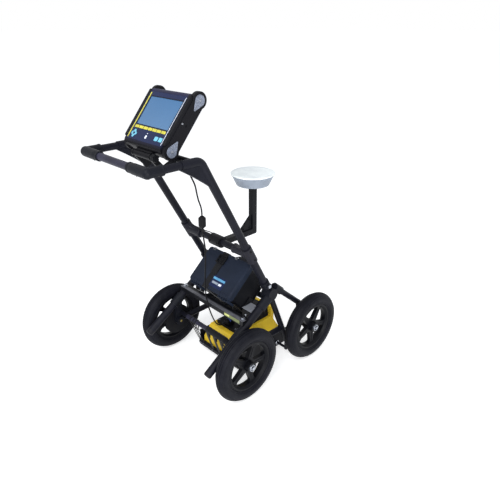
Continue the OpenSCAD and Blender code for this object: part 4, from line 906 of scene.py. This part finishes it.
class RADARCART_OT_radar(CartOperator):
    """Skid, yellow radar housing, cover, connectors and hanging straps."""
    bl_idname = "radar_cart.radar"
    bl_label = "Radar"

    def execute(self, context):
        finish_node("skid_tray", 2)
        finish_node("radar_housing", 7, 4)
        finish_node("radar_cover", 2, split=True)
        self.plug()
        self.straps()
        self.hardware()
        return {"FINISHED"}

    def plug(self):
        """Plug of the radar lead with its coloured ring, on its socket, and two small capped sockets."""
        grip = [(0, 0), (4.2, 0), (5.0, 1), (5.4, 6), (6.2, 6.5), (6.2, 8.5), (5.8, 9), (6.8, 12), (9.4, 16),
                (12.2, 18)]
        for i in range(4):
            grip += [(12.9, 18.6 + 3 * i), (12.9, 20.2 + 3 * i), (12.3, 20.6 + 3 * i), (12.3, 21.2 + 3 * i)]
        grip += [(12.3, 31.5), (10.6, 32), (10.6, 51), (0, 51)]
        socket = block((30, 34, 18), (0, 136, 179), 1.5)
        flange = block((40, 4, 34), (0, 142, 186), 1.2)
        new_piece("radar_plug", [turned(RADAR_LEAD[-1], AHEAD, grip), socket, flange], "connector", "dark_trim",
                  replaces=("radar_connectors",))
        new_piece("radar_plug_ring", [collar((0, 128.5, 187), AHEAD, 10.7, 13.4, 8)], "connector")
        cap = [(0, 0), (6, 0), (6, 5), (5, 5.4), (5, 9), (6.4, 9.4), (6.4, 20), (5.8, 21.4), (0, 22)]
        caps = [turned(at, UP, cap, 24) for at in both(39, 164, 170.8)]
        new_piece("radar_socket_caps", caps, "connector", "grey_trim")

    def straps(self):
        """Webbing that hangs the skid from its bar, looped round the bar and sewn back on itself, the wrap round the
        bar, and a thin paler sleeve on the bar's left part that paints its highlight.
        """
        run = (STRAP_FOOT - STRAP_BAR).normalized()
        aside = Vector((run.y, -run.x))
        start = math.degrees(math.atan2(-run.x, run.y)) + 180
        path = [STRAP_BAR + run * d + aside * o for d, o in ((50, 5.6), (40, 4.2), (14, -9.6))]
        path += arc(STRAP_BAR, 11.6, start, start + 180, 8)
        loop_end = Vector(path[-1])
        path += [loop_end.lerp(STRAP_FOOT, t) - Vector((STRAP_BOW * t * (1 - t), 0)) for t in (0.2, 0.4, 0.6, 0.8)]
        path += [STRAP_FOOT, (58.2, 52), (58.2, 42)]
        parts = []
        for share, width, lean in STRAPS:
            slant = Matrix.Identity(4)
            slant[0][2], slant[0][3] = lean, -lean * LEAN_FROM * MM
            parts.append(moved(strap(path, width, share * SKID_HALF), slant))
        new_piece("hanging_straps", parts, "strap", replaces=("suspension_straps",), wall=self.cart.sizes.webbing_t)
        turns = [(10.1, 0)]
        for i in range(6):
            turns += [(r, 20 * i + h) for r, h in ((13.3, 0.1), (14.1, 0.8), (14.3, 10), (14.1, 19.2), (13.3, 19.9))]
        turns += [(10.1, 120), (10.1, 0)]
        new_piece("bar_wrap", [turned((-8, *STRAP_BAR), ACROSS, turns, 40)], "strap")
        # Painted highlight: a thin sleeve in the handlebar's paler coat over the bar's left part
        new_piece("bar_painted_highlight_sleeve", [collar((-150, *STRAP_BAR), ACROSS, 10.02, 10.5, 140)], "frame_tube", "grip")

    def hardware(self):
        """Bar that clamps the straps to the skid, its rivets, side sheets, and the cover's and links' screws."""
        new_piece("strap_clamp", [block((254, 2.4, 14), (0, 55.6, 47), 0.8)], "skid", "frame_tube")
        sheets = blocks((3, 318, 70), both(131.3, 225, 64), 1) + blocks((9, 318, 3), both(134.3, 225, 99), 1)
        new_piece("skid_side_sheets", sheets, "skid")
        spots = [((share * SKID_HALF + lean * (47 - LEAN_FROM), 54.5, 47), BACK, 5) for share, _, lean in STRAPS]
        spots += [(at, UP, 7) for y, z in ((122, 171), (194, 171), (219, 204), (318, 204)) for at in both(54, y, z)]
        spots += [((side * 132.8, y, 48), (side, 0, 0), 9) for side in SIDES for y in (84, 150, 216, 282, 360)]
        screws("radar_screws", spots)
        links = [collar((side * 130.2, 319, 40), (side, 0, 0), 6.1, 11, 4) for side in SIDES]
        new_piece("link_washers", links, "bright_steel")


class RADARCART_OT_battery(CartOperator):
    """Battery box with its tray, lid, strap and plain label."""
    bl_idname = "radar_cart.battery"
    bl_label = "Battery box"

    def execute(self, context):
        finish_node("battery_tray", 0.8, finish="bracket")
        # The case takes the radar cover's darker colour instead of the lid's: painted shade on the box's shaded sides
        finish_node("battery_case", 2.2, 3, "cover")
        finish_node("battery", 1)
        finish_node("battery_lid", 2.2, 3)
        self.webbing()
        self.label()
        self.trim()
        self.wings()
        return {"FINISHED"}

    def webbing(self):
        """Webbing round the box, with its buckle and loose tail on the lid."""
        wall = self.cart.sizes.webbing_t
        width, t = self.cart.sizes.webbing_w / MM, wall / MM
        middle, bend = -20, 3.0
        low, high, foot, top = -0.1 - t / 2 + bend, 174.1 + t / 2 - bend, -152.1 - t / 2 + bend, -3 + t / 2 - bend
        path = []
        for corner, start in (((low, top), 180), ((high, top), 90), ((high, foot), 0), ((low, foot), -90)):
            path += arc(corner, bend, start, start - 90, 4)
        new_piece("battery_webbing_strap", [strap(path, width, middle, closed=True)], "strap", "battery_webbing",
                  into=BOX, replaces=("battery_strap",), wall=wall)
        tail = strap([(118, t * 0.5), (100, t * 0.8), (84, 1.8), (72, 2.6)], width - 2, middle)
        new_piece("battery_strap_tail", [tail], "strap", "battery_webbing", into=BOX, wall=wall)
        buckle = blocks((46, 6, 7), [(middle, y, 3.2) for y in (120, 138, 156)], 1.6)
        buckle += blocks((6, 42, 8), [(middle + side * 21, 138, 3.2) for side in SIDES], 1.6)
        new_piece("battery_buckle", buckle, "strap", "dark_trim", into=BOX)

    def label(self):
        """Plain label: a dark field, a blue band, two pale blocks and a thin outline."""
        for name, finish, x, y, width, length, z in (
                ("battery_label_field", "label_dark", 31, 41.5, 74, 50, 0.1),
                ("battery_label_band", "label_blue", 30.5, 55, 70, 10, 0.35),
                ("battery_label_block", "grey_trim", 18.5, 36, 35, 9.5, 0.35),
                ("battery_label_square", "label_white", 48.5, 36, 17, 9.5, 0.35)):
            new_piece(name, [block((width, length, 0.8), (x, y, z), 0.2)], "battery_box", finish, into=BOX)
        outline = border(71, 31, 1.4, 0.5, (30.5, 34, 0.3))
        new_piece("battery_label_line", [outline], "battery_box", "grey_trim", into=BOX)

    def trim(self):
        """Ribs on the lid, its catches, and the feet of the box."""
        ribs = blocks((6, 16, 3), [(start + 12 * i, 10, 0) for start in (68, -116) for i in range(5)], 1)
        new_piece("lid_ribs", ribs, "battery_box", into=BOX)
        catches = blocks((16, 12, 6), [(x, 170, 0) for x in (-92, 46)], 1.4)
        new_piece("lid_catches", catches, "bright_steel", into=BOX)
        feet = blocks((6, 9, 50), [(side * (62 + 14 * i), -4, -37) for side in SIDES for i in range(5)], 1.4)
        new_piece("box_feet", feet, "battery_box", into=BOX)

    def wings(self):
        """Bare sheet turned out to the frame at the box's sides, on dark brackets."""
        new_piece("tray_wings", blocks((56, 54, 1.8), both(153, 124, 329), 0.6), "tray")
        arms = blocks((60, 4, 35), both(157, 98, 310.5), 1.4) + blocks((60, 42, 4), both(157, 118, 326), 1.4)
        new_piece("tray_brackets", arms, "bracket")
        spots = [(at, BACK, 11) for at in both(150, 96, 305)]
        spots += [(at, UP, 9) for y in (112, 136) for at in both(166, y, 330)]
        screws("bracket_screws", spots)


class RADARCART_OT_antenna(CartOperator):
    """Satellite antenna on its bracket."""
    bl_idname = "radar_cart.antenna"
    bl_label = "Satellite antenna"

    def execute(self, context):
        finish_node("gps_bracket", 1.8, 3)
        finish_node("gps_base", 1)
        finish_node("gps_dome", 0.8)
        mast_y = 283
        new_piece("antenna_lip", [collar((0, mast_y, 842.6), UP, 84, 90.6, 1.6)], "antenna_foot")
        spots = [((x, mast_y + y, 795), DOWN, 8) for x, y in arc((0, 0), 28, 45, 315, 3)]
        for y, z in ((222, 612), (258, 612), (258, 648)):
            spots += [((side * 6, y, z), (side, 0, 0), 9) for side in SIDES]
        spots += [(at, BACK, 9) for at in both(22, 56, CROSS_Z)]
        screws("bracket_hardware", spots, finish="dark_trim")
        return {"FINISHED"}


class RADARCART_OT_display(CartOperator):
    """Display shell, bumpers, plates, panel, screen, keys and tilt knob."""
    bl_idname = "radar_cart.display"
    bl_label = "Display"

    def execute(self, context):
        finish_node("display_shell", 2.5, 3)
        finish_node("display_bumpers", 4, 3)
        for node, width in (("bumper_plates", 0.6), ("display_panel", 0.4), ("display_screen", 0.4), ("tilt_knob", 1)):
            finish_node(node, width)
        for key in ["arrow_pad", "select_key", "left_key", "right_key"] + [f"soft_key_{i}" for i in range(1, 8)]:
            finish_node(key, 0.6, split=True)
        self.face()
        self.back()
        self.hardware()
        return {"FINISHED"}

    def put(self, name, parts, slot, finish=None, body="display"):
        """A piece in the display's frame."""
        new_piece(name, parts, slot, finish, body, DISPLAY)

    def face(self):
        """Thin strips at the face's two sides, the right one white as a painted highlight along the face's edge, the
        screen's border, the pad's middle and a status light.
        """
        self.put("face_strip_left", [block((5, 176, 0.9), (-95.8, 127, 24.2), 0.3)], "panel", "key_yellow")
        # White strip at the face's right edge: a painted highlight on the edge of the face
        self.put("face_highlight_strip_right", [block((2, 176, 0.9), (98.8, 127, 24.2), 0.3)], "panel", "label_white")
        self.put("screen_border", [border(185, 113, 2.4, 0.7, (3.5, 146.5, 24.2))], "panel", "dark_trim")
        self.put("bumper_edges", blocks((12.5, 186, 21), both(110.5, 134, 16.5), 4, 3), "bumper")
        disc = [(0, -0.6), (4.4, -0.6), (4.4, 0.5), (3.8, 0.8), (0, 0.6)]
        middle = turned((-70, 57, 25.2), UP, disc, 24)
        self.put("arrow_pad_middle", [middle], "key_cyan", "panel", "key_arrow_pad")
        lamp = turned((3, 66, 24), UP, [(r * 0.4, h) for r, h in disc], 16)
        self.put("status_light", [lamp], "panel", "label_white")

    def back(self):
        """Ribbed cover and two capped sockets on the display's back."""
        cover = [block((150, 98, 3), (0, 164, -46.6), 1)]
        cover += blocks((116, 5, 3), [(0, 132 + 10.6 * i, -48.4) for i in range(7)], 1)
        self.put("display_back_cover", cover, "display_case")
        cap = [(0, 0), (11, 0), (11, 3), (9.6, 3.4), (9.6, 8), (8.8, 9), (0, 9.4)]
        self.put("display_socket_caps", [turned(at, DOWN, cap) for at in both(84, 42, -45.6)], "bumper")
        spots = [(at, DOWN, 6) for y in (120, 208) for at in both(69, y, -48)]
        screws("display_back_screws", spots, "plate", body="display", into=DISPLAY)

    def hardware(self):
        """Screws of the bumper plates and of the bumpers."""
        d = self.cart.sizes.screw_d / MM
        spots = []
        for side in SIDES:
            out = (side, 0, 0)
            for y, tip in ((39.0, 1), (230.5, -1)):
                spots.append(((side * 120.5, y, -11), out, d * 1.15))
                for along, aside in ((9, -10), (9, 10), (28, 0)):
                    spots.append(((side * 121.1, y + along * tip, -11 + aside), out, d * 0.5))
            spots.append(((side * 117.5, 134, 4.8), out, d))
        screws("display_screws", spots, "plate", body="display", into=DISPLAY)


class RADARCART_OT_fasteners(CartOperator):
    """Linch pins, tilt bolt and frame bolts."""
    bl_idname = "radar_cart.fasteners"
    bl_label = "Fasteners"

    def execute(self, context):
        finish_node("fasteners", 0.5)
        return {"FINISHED"}


OPERATORS = (RADARCART_OT_stage, RADARCART_OT_leads, RADARCART_OT_frame, RADARCART_OT_wheels, RADARCART_OT_radar,
             RADARCART_OT_battery, RADARCART_OT_antenna, RADARCART_OT_display, RADARCART_OT_fasteners)


class RADARCART_PT_panel(bpy.types.Panel):
    """Lists the cart's operators."""
    bl_idname = "RADARCART_PT_panel"
    bl_label = "Radar cart"
    bl_space_type = "VIEW_3D"
    bl_region_type = "UI"
    bl_category = "Radar cart"

    def draw(self, context):
        for operator in OPERATORS:
            self.layout.operator(operator.bl_idname)


CLASSES = (CartColours, CartSizes, StageSettings, RadarCartSettings) + OPERATORS + (RADARCART_PT_panel,)


def register():
    """Registers the classes and the settings."""
    for cls in CLASSES:
        bpy.utils.register_class(cls)
    bpy.types.Scene.radar_cart = PointerProperty(type=RadarCartSettings)


def unregister():
    """Takes the settings and the classes away."""
    del bpy.types.Scene.radar_cart
    for cls in reversed(CLASSES):
        bpy.utils.unregister_class(cls)


def main():
    """Makes the cart."""
    register()
    bpy.ops.radar_cart.stage()
    bpy.ops.radar_cart.leads()
    bpy.ops.radar_cart.frame()
    bpy.ops.radar_cart.wheels()
    bpy.ops.radar_cart.radar()
    bpy.ops.radar_cart.battery()
    bpy.ops.radar_cart.antenna()
    bpy.ops.radar_cart.display()
    bpy.ops.radar_cart.fasteners()


if __name__ == "__main__":
    main()
